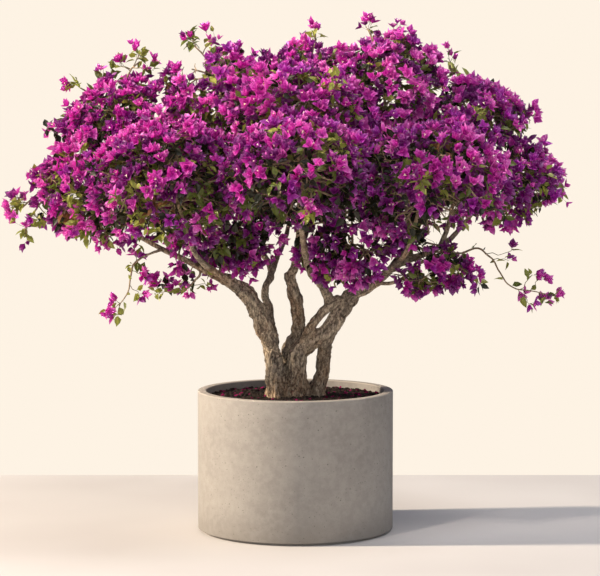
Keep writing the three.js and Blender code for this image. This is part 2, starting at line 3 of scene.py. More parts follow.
import bpy
import numpy as np
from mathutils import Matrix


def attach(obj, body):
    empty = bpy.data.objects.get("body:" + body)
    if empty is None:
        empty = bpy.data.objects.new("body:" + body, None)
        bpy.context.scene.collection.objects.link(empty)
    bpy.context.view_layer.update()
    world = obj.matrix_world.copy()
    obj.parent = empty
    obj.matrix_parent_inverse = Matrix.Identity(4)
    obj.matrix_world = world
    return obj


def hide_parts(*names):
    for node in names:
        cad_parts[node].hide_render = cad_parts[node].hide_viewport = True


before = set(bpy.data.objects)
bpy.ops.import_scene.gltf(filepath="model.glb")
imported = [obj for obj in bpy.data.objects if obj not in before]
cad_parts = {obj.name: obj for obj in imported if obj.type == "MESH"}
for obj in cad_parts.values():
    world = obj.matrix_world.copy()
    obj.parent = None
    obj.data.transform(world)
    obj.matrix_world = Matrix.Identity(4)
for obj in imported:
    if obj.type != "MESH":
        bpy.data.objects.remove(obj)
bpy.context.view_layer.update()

# Camera: it stands eight and a half metres in front of the plant, level with its crown, and looks
# slightly down through a long lens.
EYE = (0.0165, -8.504, 1.533)
LENS = 143.1
SENSOR = 36.0
LOOK_DOWN = 4.457


def placed(name, data):
    """An object with this mesh, lens or light, put in the scene."""
    made = bpy.data.objects.new(name, data)
    bpy.context.scene.collection.objects.link(made)
    return made


camera_data = bpy.data.cameras.new("camera")
camera_data.lens = LENS
camera_data.sensor_width = SENSOR
camera = placed("camera", camera_data)
camera.location = EYE
camera.rotation_euler = (math.radians(90 - LOOK_DOWN), 0, 0)
bpy.context.scene.camera = camera

# Pot: one thick shell of pale cast concrete, smooth from its mould, with softened edges, small air
# holes and a foot set in under it so that the wall seems to float just off the ground.
MM = 0.001
POT_RADIUS = 350
POT_HEIGHT = 504
POT_WALL = 31
POT_FLOOR = 45
FOOT_HEIGHT = 9
FOOT_INSET = 16
EDGE_ROUND = 3.2
POT_SIDES = 200
WALL_RINGS = (90, 180, 270, 360, 440)
SHARP_FROM = 50
DARKER_BELOW = 130
RIM_HIGHLIGHT = 4
AIR_HOLES = ((62.0, 0.16, 0.7), (118.0, 0.22, 0.66))  # cells in a metre, size in a cell, which cells


class Shade:
    """A socket of a node tree being made. Sums of sockets are written as plain sums."""

    def __init__(self, tree, socket=None):
        self.tree = tree
        self.socket = socket

    def node(self, kind, settings=None, inputs=None, output=0):
        made = self.tree.nodes.new(kind)
        for name, value in (settings or {}).items():
            setattr(made, name, value)
        for name, value in (inputs or {}).items():
            if isinstance(value, Shade):
                self.tree.links.new(value.socket, made.inputs[name])
            else:
                made.inputs[name].default_value = value
        return Shade(self.tree, made.outputs[output])

    def maths(self, operation, a, b):
        return self.node("ShaderNodeMath", {"operation": operation}, {0: a, 1: b})

    def __add__(self, other):
        return self.maths("ADD", self, other)

    __radd__ = __add__

    def __mul__(self, other):
        return self.maths("MULTIPLY", self, other)

    __rmul__ = __mul__

    def __sub__(self, other):
        return self.maths("SUBTRACT", self, other)

    def __rsub__(self, other):
        return self.maths("SUBTRACT", other, self)

    def step(self, low, high):
        """0 below low and 1 above high, or the other way round if low is the larger."""
        ends = {"Value": self, "From Min": low, "From Max": high}
        return self.node("ShaderNodeMapRange", {"interpolation_type": "SMOOTHSTEP"}, ends)

    def mix(self, colour, other):
        """One colour where this socket is 0, the other where it is 1."""
        colour, other = (paint(c) if isinstance(c, str) else c for c in (colour, other))
        return self.node("ShaderNodeMix", {"data_type": "RGBA"}, {0: self, 6: colour, 7: other}, 2)

    def under(self, *coats):
        """This colour with others laid over it in turn, each as strongly as its mask says."""
        colour = self
        for mask, coat in coats:
            colour = mask.mix(colour, coat)
        return colour

    def place(self):
        return self.node("ShaderNodeTexCoord", output="Object")

    def noise(self, scale, detail=3.0, roughness=0.5, where=None):
        inputs = {"Vector": where or self.place(), "Scale": scale, "Detail": detail,
                  "Roughness": roughness}
        return self.node("ShaderNodeTexNoise", {}, inputs)

    def bump(self, height, distance, strength=1.0):
        inputs = {"Height": height, "Distance": distance, "Strength": strength}
        return self.node("ShaderNodeBump", {}, inputs)

    def skin(self, colour, roughness, relief=None, gloss=0.5):
        """The outer surface of a piece."""
        inputs = {"Base Color": colour, "Roughness": roughness, "Specular IOR Level": gloss}
        if relief:
            inputs["Normal"] = relief
        return self.node("ShaderNodeBsdfPrincipled", {}, inputs)


def paint(code):
    """A colour as a shader wants it, from the usual six letters."""
    parts = [int(code[i:i + 2], 16) / 255 for i in (0, 2, 4)]
    return tuple(p / 12.92 if p < 0.04045 else ((p + 0.055) / 1.055) ** 2.4 for p in parts) + (1.0,)


def end_in(tree, kind, surface):
    """Fills an empty node tree with a surface and the output that it ends in."""
    tree.nodes.clear()
    out = tree.nodes.new(kind)
    tree.links.new(surface(Shade(tree)).socket, out.inputs["Surface"])


def finish(name, surface):
    material = bpy.data.materials.new(name)
    material.use_nodes = True
    end_in(material.node_tree, "ShaderNodeOutputMaterial", surface)
    return material


def mesh_object(name, places, faces, material, smooth=True):
    """An object of places in millimetres and the triangles between them."""
    mesh = bpy.data.meshes.new(name)
    places = np.asarray(places, np.float64).reshape(-1, 3) * MM
    faces = np.asarray(faces, np.int32)
    mesh.vertices.add(len(places))
    mesh.vertices.foreach_set("co", places.ravel().astype(np.float32))
    mesh.loops.add(faces.size)
    mesh.loops.foreach_set("vertex_index", faces.ravel())
    mesh.polygons.add(len(faces))
    mesh.polygons.foreach_set("loop_start", np.arange(0, faces.size, 3, dtype=np.int32))
    mesh.polygons.foreach_set("use_smooth", np.full(len(faces), smooth))
    mesh.update(calc_edges=True)
    if material:
        mesh.materials.append(material)
    return placed(name, mesh)


def fit(piece, slot, *nodes):
    """Sets a finished piece on the plant in place of its solids."""
    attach(piece, "root")
    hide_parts(*nodes)


def turns(sides):
    """Even angles once round."""
    return 2 * np.pi * np.arange(sides) / sides


def ring(reach, height, sides):
    """Places at one height round the vertical, as far out as they are told."""
    turn = turns(sides)
    return np.column_stack([reach * np.cos(turn), reach * np.sin(turn), np.full(sides, float(height))])


def walls(rings, sides):
    """The triangles of a tube, whose places come ring after ring."""
    k = np.arange(sides)
    after = (k + 1) % sides
    faces = []
    for low in range(0, (rings - 1) * sides, sides):
        high = low + sides
        faces += [np.column_stack([low + k, low + after, high + after]),
                  np.column_stack([low + k, high + after, high + k])]
    return np.concatenate(faces)


def lathe(profile, sides):
    """Places and triangles of a profile of (radius, height) turned about the vertical, poles closed."""
    rings = [ring(reach, height, sides) for reach, height in profile if reach > 0]
    poles = [[0, 0, profile[0][1]], [0, 0, profile[-1][1]]]
    k = np.arange(sides)
    after = (k + 1) % sides
    last, pole = (len(rings) - 1) * sides, len(rings) * sides + 0 * k
    caps = [np.column_stack([pole, after, k]), np.column_stack([last + k, last + after, pole + 1])]
    return np.concatenate([*rings, poles]), np.concatenate([walls(len(rings), sides), *caps])


def rounded(corner, before, after, radius):
    """Four places round a corner of a profile."""
    corner, before, after = (np.array(p, float) for p in (corner, before, after))
    start, end = (corner + radius * (p - corner) / np.linalg.norm(p - corner) for p in (before, after))
    return [tuple((1 - t) ** 2 * start + 2 * t * (1 - t) * corner + t * t * end) for t in (0, 0.33, 0.67, 1)]


def concrete_surface(s):
    """Cloudy grey over mottling and grain, with air holes in painted shade, darker towards the foot and a
    paler rim that is painted highlight.
    """
    cloud = s.noise(5.5, 6, 0.6).step(0.28, 0.75)
    mottle = s.noise(38, 5, 0.62).step(0.32, 0.7)
    grain = s.noise(420, 2, 0.6)
    holes = []
    for scale, size, lot_from in AIR_HOLES:
        cells = {"Vector": s.place(), "Scale": scale}
        near = s.node("ShaderNodeTexVoronoi", {}, cells, "Distance").step(size, 0.5 * size)
        lot = s.node("ShaderNodeTexVoronoi", {}, cells, "Color")
        lot = s.node("ShaderNodeSeparateColor", {}, {0: lot})
        holes.append(near * lot.step(lot_from, lot_from + 0.03))
    # The air holes are painted dark: painted shade in the pits.
    hole = s.maths("MAXIMUM", *holes) * (0.12 + s.noise(11, 3, 0.6).step(0.4, 0.62))
    height = s.node("ShaderNodeSeparateXYZ", {}, {0: s.place()}, 2)
    # Darker towards the foot, in cloudy patches.
    darker_foot = height.step(DARKER_BELOW * MM, 0.0) * (0.25 + 0.35 * cloud)
    # The pale band round the top of the rim is painted highlight.
    rim_highlight = height.step((POT_HEIGHT - RIM_HIGHLIGHT) * MM, (POT_HEIGHT - 1) * MM)
    colour = cloud.mix("8D8882", "9B968F").under(
        (mottle * 0.55, "A9A59E"), (grain.step(0.55, 0.72) * 0.35, "77716A"), (darker_foot, "78726B"),
        (rim_highlight * 0.6, "C9C2B6"), (hole * 0.75, "4B453E"))
    relief = s.bump(0.4 * cloud + 0.3 * mottle + 0.25 * grain - 1.6 * hole, 0.0012, 0.6)
    return s.skin(colour, 0.78 + 0.14 * mottle, relief)


foot = POT_RADIUS - FOOT_INSET
inside = POT_RADIUS - POT_WALL
bottom_edge, rim_edge = (POT_RADIUS, FOOT_HEIGHT), (POT_RADIUS, POT_HEIGHT)
rim_inner, floor_inner = (inside, POT_HEIGHT), (inside, POT_FLOOR)
pot_profile = [(0, 0), (foot, 0), (foot, FOOT_HEIGHT)]
pot_profile += rounded(bottom_edge, pot_profile[-1], rim_edge, EDGE_ROUND)
pot_profile += [(POT_RADIUS, z) for z in WALL_RINGS]
pot_profile += rounded(rim_edge, bottom_edge, rim_inner, EDGE_ROUND)
pot_profile += rounded(rim_inner, rim_edge, floor_inner, EDGE_ROUND)
pot_profile += [floor_inner, (0, POT_FLOOR)]
concrete = finish("cast_concrete", concrete_surface)
pot_shell = mesh_object("pot_shell", *lathe(pot_profile, POT_SIDES), concrete)
pot_shell.data.set_sharp_from_angle(angle=math.radians(SHARP_FROM))
fit(pot_shell, "concrete", "pot")

# Soil: dark crumbly potting mix that fills the pot to a finger's width under its rim, a little
# heaped at the stems, with a layer of loose crumbs on its surface.
SOIL_TOP = 479
SOIL_RINGS = 70
SOIL_SPOKES = 220
SETTLED = 2
HEAP_HEIGHT = 7
HEAP_MIDDLE = 20
HEAP_WIDTH = 120
LUMPS = ((2.6, 38), (1.5, 13), (1.0, 5.5))  # height and width of each size of lump
CRUMB_DENSITY = 12000
CRUMB_SIZES = (0.0026, 0.0085)
CRUMB_SEED = 3
CRUMB_UNEVEN = 0.35


def hum(places, seed=0):
    """Smooth noise from -1 to 1 that is the same each time, for an array of places."""
    cell = np.floor(places).astype(np.int64)
    part = places - cell
    part = part * part * (3 - 2 * part)
    total = np.zeros(len(places))
    for corner in np.ndindex(2, 2, 2):
        c = cell + corner
        mixed = c[:, 0] * 374761393 + c[:, 1] * 668265263 + c[:, 2] * 1440662683 + seed * 1274126177
        mixed = ((mixed ^ (mixed >> 13)) * 1103515245) & 0x7FFFFFFF
        mixed ^= mixed >> 16
        weight = np.where(np.array(corner), part, 1 - part).prod(1)
        total += weight * ((mixed & 0xFFFF) / 32767.5 - 1)
    return total


def soil_surface(s):
    crumb = s.noise(260, 5, 0.7)
    patches = s.noise(28, 3, 0.5).step(0.35, 0.7).mix("1B120C", "2C1F16")
    colour = patches.under((crumb.step(0.5, 0.7) * 0.7, "433224"))
    return s.skin(colour, 0.95, s.bump(crumb, 0.003, 0.9))


def strew_nodes():
    """Strews copies of a shape over a surface, each with a turn and size of its own."""
    tree = bpy.data.node_groups.new("strew", "GeometryNodeTree")
    tree.is_modifier = True
    inputs = {"Geometry": "Geometry", "Shape": "Object", "Density": "Float", "Smallest": "Float",
              "Largest": "Float", "Tilt": "Float", "Seed": "Int", "Material": "Material"}
    for name, kind in inputs.items():
        tree.interface.new_socket(name=name, in_out="INPUT", socket_type="NodeSocket" + kind)
    tree.interface.new_socket(name="Geometry", in_out="OUTPUT", socket_type="NodeSocketGeometry")
    s, sockets = Shade(tree), tree.nodes.new("NodeGroupInput").outputs
    given = (Shade(tree, sockets[name]) for name in inputs)
    ground, shape, density, smallest, largest, tilt, seed, material = given
    spread = {"Mesh": ground, "Density": density, "Seed": seed}
    points = s.node("GeometryNodeDistributePointsOnFaces", {}, spread, "Points")
    least = s.node("ShaderNodeCombineXYZ", {}, {"X": tilt * -1.0, "Y": tilt * -1.0, "Z": 0.0})
    most = s.node("ShaderNodeCombineXYZ", {}, {"X": tilt, "Y": tilt, "Z": 2 * math.pi})
    ways = {0: least, 1: most, "Seed": seed}
    turn = s.node("FunctionNodeRandomValue", {"data_type": "FLOAT_VECTOR"}, ways)
    sizes = {2: smallest, 3: largest, "Seed": seed}
    size = s.node("FunctionNodeRandomValue", {"data_type": "FLOAT"}, sizes, 1)
    lump = s.node("GeometryNodeObjectInfo", {}, {"Object": shape}, "Geometry")
    laid = {"Points": points, "Instance": lump, "Rotation": turn, "Scale": size}
    laid = s.node("GeometryNodeInstanceOnPoints", {}, laid)
    real = s.node("GeometryNodeRealizeInstances", {}, {"Geometry": laid})
    dressed = s.node("GeometryNodeSetMaterial", {}, {"Geometry": real, "Material": material})
    tree.links.new(dressed.socket, tree.nodes.new("NodeGroupOutput").inputs[0])
    return tree


def plain_mesh(piece):
    """The mesh of an object as its modifiers leave it. The object itself goes."""
    graph = bpy.context.evaluated_depsgraph_get()
    mesh = bpy.data.meshes.new_from_object(piece.evaluated_get(graph))
    bpy.data.objects.remove(piece)
    return mesh


def strew(name, ground, shape, density, sizes, tilt, seed, material):
    """One piece of many copies of a shape, lying on the ground's surface."""
    carrier = ground.copy()
    bpy.context.scene.collection.objects.link(carrier)
    strewn = carrier.modifiers.new("strew", "NODES")
    strewn.node_group = strew_tree
    values = {"Shape": shape, "Density": density, "Smallest": sizes[0], "Largest": sizes[1],
              "Tilt": tilt, "Seed": seed, "Material": material}
    for socket in strew_tree.interface.items_tree:
        if socket.in_out == "INPUT" and socket.name in values:
            strewn[socket.identifier] = values[socket.name]
    made = placed(name, plain_mesh(carrier))
    bpy.data.objects.remove(shape)
    return made


def crumb_shape():
    """A lump of soil of twenty faces, one unit across."""
    gold = (1 + 5 ** 0.5) / 2
    rows = [(-1, gold, 0), (1, gold, 0), (-1, -gold, 0), (1, -gold, 0), (0, -1, gold), (0, 1, gold),
            (0, -1, -gold), (0, 1, -gold), (gold, 0, -1), (gold, 0, 1), (-gold, 0, -1), (-gold, 0, 1)]
    faces = [(0, 11, 5), (0, 5, 1), (0, 1, 7), (0, 7, 10), (0, 10, 11), (1, 5, 9), (5, 11, 4), (11, 10, 2),
             (10, 7, 6), (7, 1, 8), (3, 9, 4), (3, 4, 2), (3, 2, 6), (3, 6, 8), (3, 8, 9), (4, 9, 5),
             (2, 4, 11), (6, 2, 10), (8, 6, 7), (9, 8, 1)]
    uneven = 1 + CRUMB_UNEVEN * hum(np.array(rows) * 1.7 + 0.5)
    places = np.array(rows) / 2 * uneven[:, None]
    return mesh_object("crumb", places / MM, faces, None, smooth=False)


soil_radius = inside - 1
soil_profile = [(0, POT_FLOOR + 1), (soil_radius, POT_FLOOR + 1)]
soil_profile += [(soil_radius * math.sqrt(share), SOIL_TOP) for share in np.linspace(1, 0.0002, SOIL_RINGS)]
soil_places, soil_faces = lathe(soil_profile + [(0, SOIL_TOP)], SOIL_SPOKES)
on_top = soil_places[:, 2] == SOIL_TOP
spot = soil_places[on_top]
heap = HEAP_HEIGHT * np.exp(-((spot[:, 0] - HEAP_MIDDLE) ** 2 + spot[:, 1] ** 2) / HEAP_WIDTH ** 2)
spot[:, 2] = 0
lumps = sum(height * hum(spot / width, seed) for seed, (height, width) in enumerate(LUMPS))
soil_places[on_top, 2] += heap + lumps - SETTLED
soil_finish = finish("potting_soil", soil_surface)
soil_cake = mesh_object("soil_cake", soil_places, soil_faces, soil_finish)
fit(soil_cake, "soil", "soil")

strew_tree = strew_nodes()
soil_top = mesh_object("soil_top", soil_places, soil_faces[on_top[soil_faces].all(1)], None)
crumbs = strew("soil_crumbs", soil_top, crumb_shape(), CRUMB_DENSITY, CRUMB_SIZES, math.pi, CRUMB_SEED,
               soil_finish)
fit(crumbs, "soil", "soil")

# Trunk and boughs: several old stems that have grown into each other, and the limbs they carry up to
# the crown. The bark is grey-brown, fluted like sinews and split lengthwise by dark furrows, partly painted
# shade.
STEMS = {  # radius at the root and at the tip, and the places it runs through
    "left_stem": (41, 26,
        [(-53, -24, 450), (-59, -24, 501), (-71, -26, 555), (-78, -28, 610), (-86, -28, 660),
        (-101, -30, 712), (-124, -35, 770), (-149, -40, 818)]),
    "centre_stem": (30, 22,
        [(-14, 22, 450), (-20, 24, 505), (-26, 28, 565), (-27, 30, 615), (-15, 28, 660), (8, 24, 708),
        (11, 20, 755), (4, 18, 815), (-6, 16, 860), (-18, 13, 912)]),
    "right_stem": (37, 29,
        [(8, -22, 450), (7, -22, 510), (6, -24, 560), (8, -27, 605), (18, -29, 645), (52, -30, 676),
        (98, -30, 704), (133, -26, 742), (160, -20, 785), (182, -14, 820), (196, -11, 840)]),
    "far_right_stem": (27, 23,
        [(72, 4, 450), (80, 6, 500), (95, 11, 555), (101, 11, 605), (105, 4, 650), (114, -12, 690),
        (124, -24, 722)]),
    "link_stem": (15, 16,
        [(22, -34, 668), (38, -46, 705), (58, -50, 738), (88, -45, 776), (124, -32, 812),
        (150, -22, 832)]),
}
SHOWN_BOUGHS = {  # the same for the boughs that show
    "left_bough": (27, 8,
        [(-149, -40, 818), (-177, -45, 855), (-215, -50, 884), (-306, -60, 935), (-346, -60, 982),
        (-390, -54, 1050), (-431, -35, 1150), (-468, 5, 1245)]),
    "left_low_bough": (13, 8,
        [(-286, -58, 920), (-338, -75, 946), (-397, -85, 980), (-457, -90, 1008), (-540, -84, 1052)]),
    "back_left_bough": (17, 8,
        [(-92, -12, 706), (-90, 12, 747), (-95, 27, 796), (-109, 42, 834), (-106, 56, 873), (-88, 78, 910),
        (-110, 150, 970), (-190, 240, 1030), (-318, 345, 1100)]),
    "centre_bough": (19, 8,
        [(-18, 13, 912), (0, 15, 950), (14, 20, 990), (38, 30, 1090), (50, 35, 1170), (57, 35, 1260),
        (60, 32, 1425)]),
    "front_bough": (18, 8,
        [(124, -22, 812), (109, -37, 858), (88, -52, 895), (58, -80, 928), (34, -180, 1010),
        (15, -450, 1165)]),
    "right_bough": (22, 8,
        [(196, -11, 840), (217, -10, 853), (248, -11, 869), (285, -13, 892), (332, -15, 932),
        (378, -18, 960), (487, -22, 1005), (540, -22, 1036), (610, -20, 1112)]),
    "right_low_bough": (8.5, 6.5, [(282, -13, 890), (305, -40, 890), (335, -56, 891), (368, -66, 900)]),
}
INNER_BOUGHS = {  # the limb that carries each, how far along it, thick and thin radius, mass it ends in
    "left_front_bough": ("left_bough", 0.22, 15, 8, "left_front"),
    "inner_left_bough": ("left_bough", 0.3, 8, 6, "inner_left"),
    "top_left_bough": ("left_bough", 0.68, 9, 6.5, "top_left"),
    "centre_left_bough": ("centre_bough", 0.06, 14, 8, "top_front"),
    "top_back_bough": ("centre_bough", 0.42, 10, 7.5, "top_back"),
    "back_bough": ("back_left_bough", 0.36, 12, 8, "back"),
    "inner_right_bough": ("right_bough", 0.04, 10, 7, "inner_right"),
    "right_front_bough": ("right_bough", 0.25, 13, 8, "right_front"),
    "right_back_bough": ("right_bough", 0.33, 12, 8, "right_back"),
    "top_right_bough": ("right_bough", 0.5, 10, 7.5, "top_right"),
    "right_top_bough": ("right_bough", 0.73, 9, 7.5, "right_top"),
}
SPRAYS = {  # the limb that carries each, how far along it, its thin bough, the line of the spray past it
    "left_hanging": ("left_low_bough", 0.72,
        [(-505, -118, 1003), (-545, -124, 985)],
        [(-571, -124, 960), (-584, -122, 915), (-592, -120, 870), (-625, -118, 815)]),
    "left_under": ("left_low_bough", 0.2,
        [(-338, -92, 922), (-356, -92, 904)],
        [(-378, -88, 884), (-415, -80, 866), (-462, -74, 862)]),
    "right_arch": ("right_bough", 0.76,
        [(550, -50, 1002), (594, -58, 998)],
        [(640, -62, 1016), (684, -62, 990), (722, -58, 940), (752, -54, 892), (820, -50, 866),
        (892, -46, 852)]),
    "back_left_trailing": ("back_left_bough", 0.84,
        [(-286, 372, 1060), (-330, 420, 1030)],
        [(-372, 470, 975), (-392, 505, 910), (-430, 540, 860)]),
    "back_right_trailing": ("right_back_bough", 0.7,
        [(436, 300, 1030), (490, 330, 1012)],
        [(560, 372, 990), (610, 400, 930), (680, 420, 870)]),
}
MASSES = {  # centre, half widths, the bough that carries each, the shoots that reach out past it
    "left_low": ((-700, -20, 1225), (245, 280, 210), "left_low_bough",
        [(-925, -20, 1262), (-1020, -20, 1140), (-1000, -25, 1062)]),
    "left_top": ((-600, 20, 1430), (265, 285, 205), "left_bough", [(-548, 0, 1715), (-795, 0, 1612)]),
    "left_front": ((-415, -415, 1255), (305, 290, 245), "left_front_bough", [(-600, -670, 1160)]),
    "left_back": ((-425, 425, 1265), (305, 290, 245), "back_left_bough", [(-640, 670, 1200)]),
    "inner_left": ((-245, -70, 1125), (262, 235, 215), "inner_left_bough", []),
    "top_left": ((-272, -10, 1530), (255, 268, 204), "top_left_bough", [(-375, -20, 1770)]),
    "top_centre": ((52, 30, 1558), (242, 258, 210), "centre_bough", [(80, 20, 1800)]),
    "top_front": ((20, -310, 1470), (288, 265, 222), "centre_left_bough", [(-60, -560, 1580)]),
    "top_back": ((30, 330, 1475), (288, 265, 222), "top_back_bough", [(80, 600, 1590)]),
    "front": ((20, -590, 1290), (290, 255, 210), "front_bough", [(-60, -840, 1230)]),
    "back": ((0, 600, 1265), (290, 255, 215), "back_bough", [(60, 850, 1250)]),
    "inner_right": ((200, -130, 1072), (245, 215, 195), "inner_right_bough", []),
    "right_under": ((440, -85, 962), (215, 165, 115), "right_low_bough", []),
    "top_right": ((315, -20, 1565), (268, 275, 215), "top_right_bough",
        [(248, -20, 1826), (400, -10, 1790)]),
    "right_top": ((592, 20, 1422), (268, 285, 225), "right_top_bough", [(540, 0, 1705), (822, 0, 1540)]),
    "right": ((712, -20, 1248), (250, 280, 175), "right_bough",
        [(960, -20, 1190), (872, 0, 1372), (905, -10, 1292)]),
    "right_front": ((440, -415, 1255), (305, 290, 240), "right_front_bough", [(650, -660, 1180)]),
    "right_back": ((440, 430, 1265), (305, 290, 245), "right_back_bough", [(650, 670, 1200)]),
}
ROOT_FLARE = 15
FLARE_HEIGHT = 42
ROOT_DEPTH = 14
BARK_DEPTH = 12
BOUGH_TAPER = 1.5
BOUGH_ROOM = 12
BOUGH_SLANT = 0.5
BOUGH_BENDS = (0.35, 0.3)
TIP_DEPTH = 0.86
TIP_BELOW = 0.9
DRAWING_IN = 0.08
FLUTE_STAND = 0.2
BURR_STAND = 0.11
YOUNG_STAND = 0.03
RING_STEP = 7
LIMB_SIDES = 30
LIMB_END = np.array([0.35, 0.65, 0.87, 0.97])
WINDING = 0.0035
SPRAY_BOUGH_THICK = 6
SPRAY_THICK = 4
SPRAY_SPACE = 95
BARK_MESH = 0.0033
FURROW_DEPTH = 2.8
FURROW_WIDTH = 0.17
CROSS_CRACK_WIDTH = 0.12
RIDGE_HEIGHT = 1.5
CROSS_HEIGHT = 0.6
LUMP_HEIGHT = 3.8
SWELL_HEIGHT = 2.6


def unit(vectors):
    return vectors / np.maximum(np.linalg.norm(vectors, axis=-1, keepdims=True), 1e-9)


def curve(waypoints, step):
    """Even places and headings along a smooth line through waypoints."""
    p = np.array(waypoints, float)
    p = np.concatenate([[2 * p[0] - p[1]], p, [2 * p[-1] - p[-2]]])
    gap = np.maximum(np.linalg.norm(np.diff(p, axis=0), axis=1) ** 0.5, 1e-3)[:, None]
    share = np.linspace(0, 1, 60)[:, None]
    fine = []
    for i in range(1, len(p) - 2):
        d0, d1, d2 = gap[i - 1], gap[i], gap[i + 1]
        lead = (p[i] - p[i - 1]) / d0 - (p[i + 1] - p[i - 1]) / (d0 + d1) + (p[i + 1] - p[i]) / d1
        trail = (p[i + 1] - p[i]) / d1 - (p[i + 2] - p[i]) / (d1 + d2) + (p[i + 2] - p[i + 1]) / d2
        m0, m1, rise = lead * d1, trail * d1, p[i] - p[i + 1]
        cubic = (2 * rise + m0 + m1) * share ** 3
        fine.append(p[i] + m0 * share + (-3 * rise - 2 * m0 - m1) * share ** 2 + cubic)
    fine = np.concatenate(fine)
    way = np.concatenate([[0], np.cumsum(np.linalg.norm(np.diff(fine, axis=0), axis=1))])
    count = max(2, round(way[-1] / step))
    even = np.linspace(0, way[-1], count + 1)
    at = np.column_stack([np.interp(even, way, fine[:, axis]) for axis in range(3)])
    return at, unit(np.gradient(at, axis=0))


def part_way(name, share):
    """The place and heading a share of the way along a limb."""
    at, along, _ = limbs[name]
    place = share * (len(at) - 1)
    i = min(int(place), len(at) - 2)
    return at[i] + (at[i + 1] - at[i]) * (place - i), along[i]


# Each mass and spray keeps to its own side of the plane between it and each neighbour.
spaces = {"mass_" + name: (at, half) for name, (at, half, _, _) in MASSES.items()}
for name, (_, _, _, line) in SPRAYS.items():
    spaces["spray_" + name] = line[len(line) // 2], (SPRAY_SPACE,) * 3
SPACE_NAMES = list(spaces)
CENTRES = np.array([at for at, _ in spaces.values()], float)
HALVES = np.array([half for _, half in spaces.values()], float)
REACHES = HALVES.mean(1)
APART = np.linalg.norm(CENTRES[:, None] - CENTRES[None], axis=2)


def in_own_space(index, places, room):
    places = np.atleast_2d(places)
    power = ((places[:, None] - CENTRES) ** 2).sum(2) - REACHES ** 2
    slack = power - power[:, [index]] - 2 * room * APART[index]
    slack[:, index] = 1
    return (slack > 0).all(1)


def drawn_in(index, place, room):
    """The place, drawn in towards the middle of its space until it has that room all round."""
    while not in_own_space(index, place, room)[0]:
        place = place + (CENTRES[index] - place) * DRAWING_IN
    return place


def inner_route(carrier, share, into):
    """A bough inside the crown leaves its limb on a slant and curves up into its mass from below."""
    index = SPACE_NAMES.index("mass_" + into)
    start, along = part_way(carrier, share)
    under = unit(unit(start - CENTRES[index]) - (0, 0, TIP_BELOW))
    tip = drawn_in(index, CENTRES[index] + under * HALVES[index] * TIP_DEPTH, BOUGH_ROOM)
    length = np.linalg.norm(tip - start)
    bend_out = start + unit(unit(tip - start) + BOUGH_SLANT * along) * length * BOUGH_BENDS[0]
    bend_in = tip - unit(CENTRES[index] - tip) * length * BOUGH_BENDS[1]
    t = np.linspace(0, 1, 5)[:, None]
    first_half = (1 - t) ** 3 * start + 3 * t * (1 - t) ** 2 * bend_out
    return first_half + 3 * t * t * (1 - t) * bend_in + t ** 3 * tip


limbs = {}
for name, (thick, thin, through) in STEMS.items():
    at, along = curve(through, RING_STEP)
    radius = thick + (thin - thick) * np.linspace(0, 1, len(at))
    limbs[name] = at, along, radius + ROOT_FLARE * np.exp((SOIL_TOP - at[:, 2]) / FLARE_HEIGHT)
bough_names = []


def add_bough(name, through, thick, thin):
    at, along = curve(through, RING_STEP)
    limbs[name] = at, along, thin + (thick - thin) * (1 - np.linspace(0, 1, len(at))) ** BOUGH_TAPER
    bough_names.append(name)


for name, (thick, thin, through) in SHOWN_BOUGHS.items():
    add_bough(name, through, thick, thin)
for name, (carrier, share, thick, thin, into) in INNER_BOUGHS.items():
    add_bough(name, inner_route(carrier, share, into), thick, thin)
for name, (carrier, share, bough, _) in SPRAYS.items():
    add_bough(name + "_bough", [part_way(carrier, share)[0], *bough], SPRAY_BOUGH_THICK, SPRAY_THICK)


def across_line(along):
    """Two directions across each heading of a line that turn as little as they can along it."""
    across = np.zeros_like(along)
    last = np.cross((0.3, -1, 0.1), along[0])
    for i, heading in enumerate(along):
        last = unit(last - last.dot(heading) * heading)
        across[i] = last
    return across, np.cross(along, across)


def circles(across, beside, sides):
    """Directions all round each heading of a line."""
    turn = turns(sides)[:, None]
    return np.cos(turn) * across[..., None, :] + np.sin(turn) * beside[..., None, :]


def grained(x, y, length, wide, long, offset, seed):
    """Noise drawn out along a limb: features this wide across it and this long along it."""
    return hum(np.column_stack([x / wide, y / wide, length / long + offset]), seed)


def sinews(place, length, radius, number):
    """How far the flutes of an old limb stand out, as a share of its radius."""
    flute = grained(*place.T, length, 17, 150, 9 * number, 5)
    burr = grained(*place.T, length, 30, 42, 5 * number, 6)
    old = np.clip((radius - 9) / 16, 0, 1)
    return old * (FLUTE_STAND * flute + BURR_STAND * burr) + YOUNG_STAND * burr


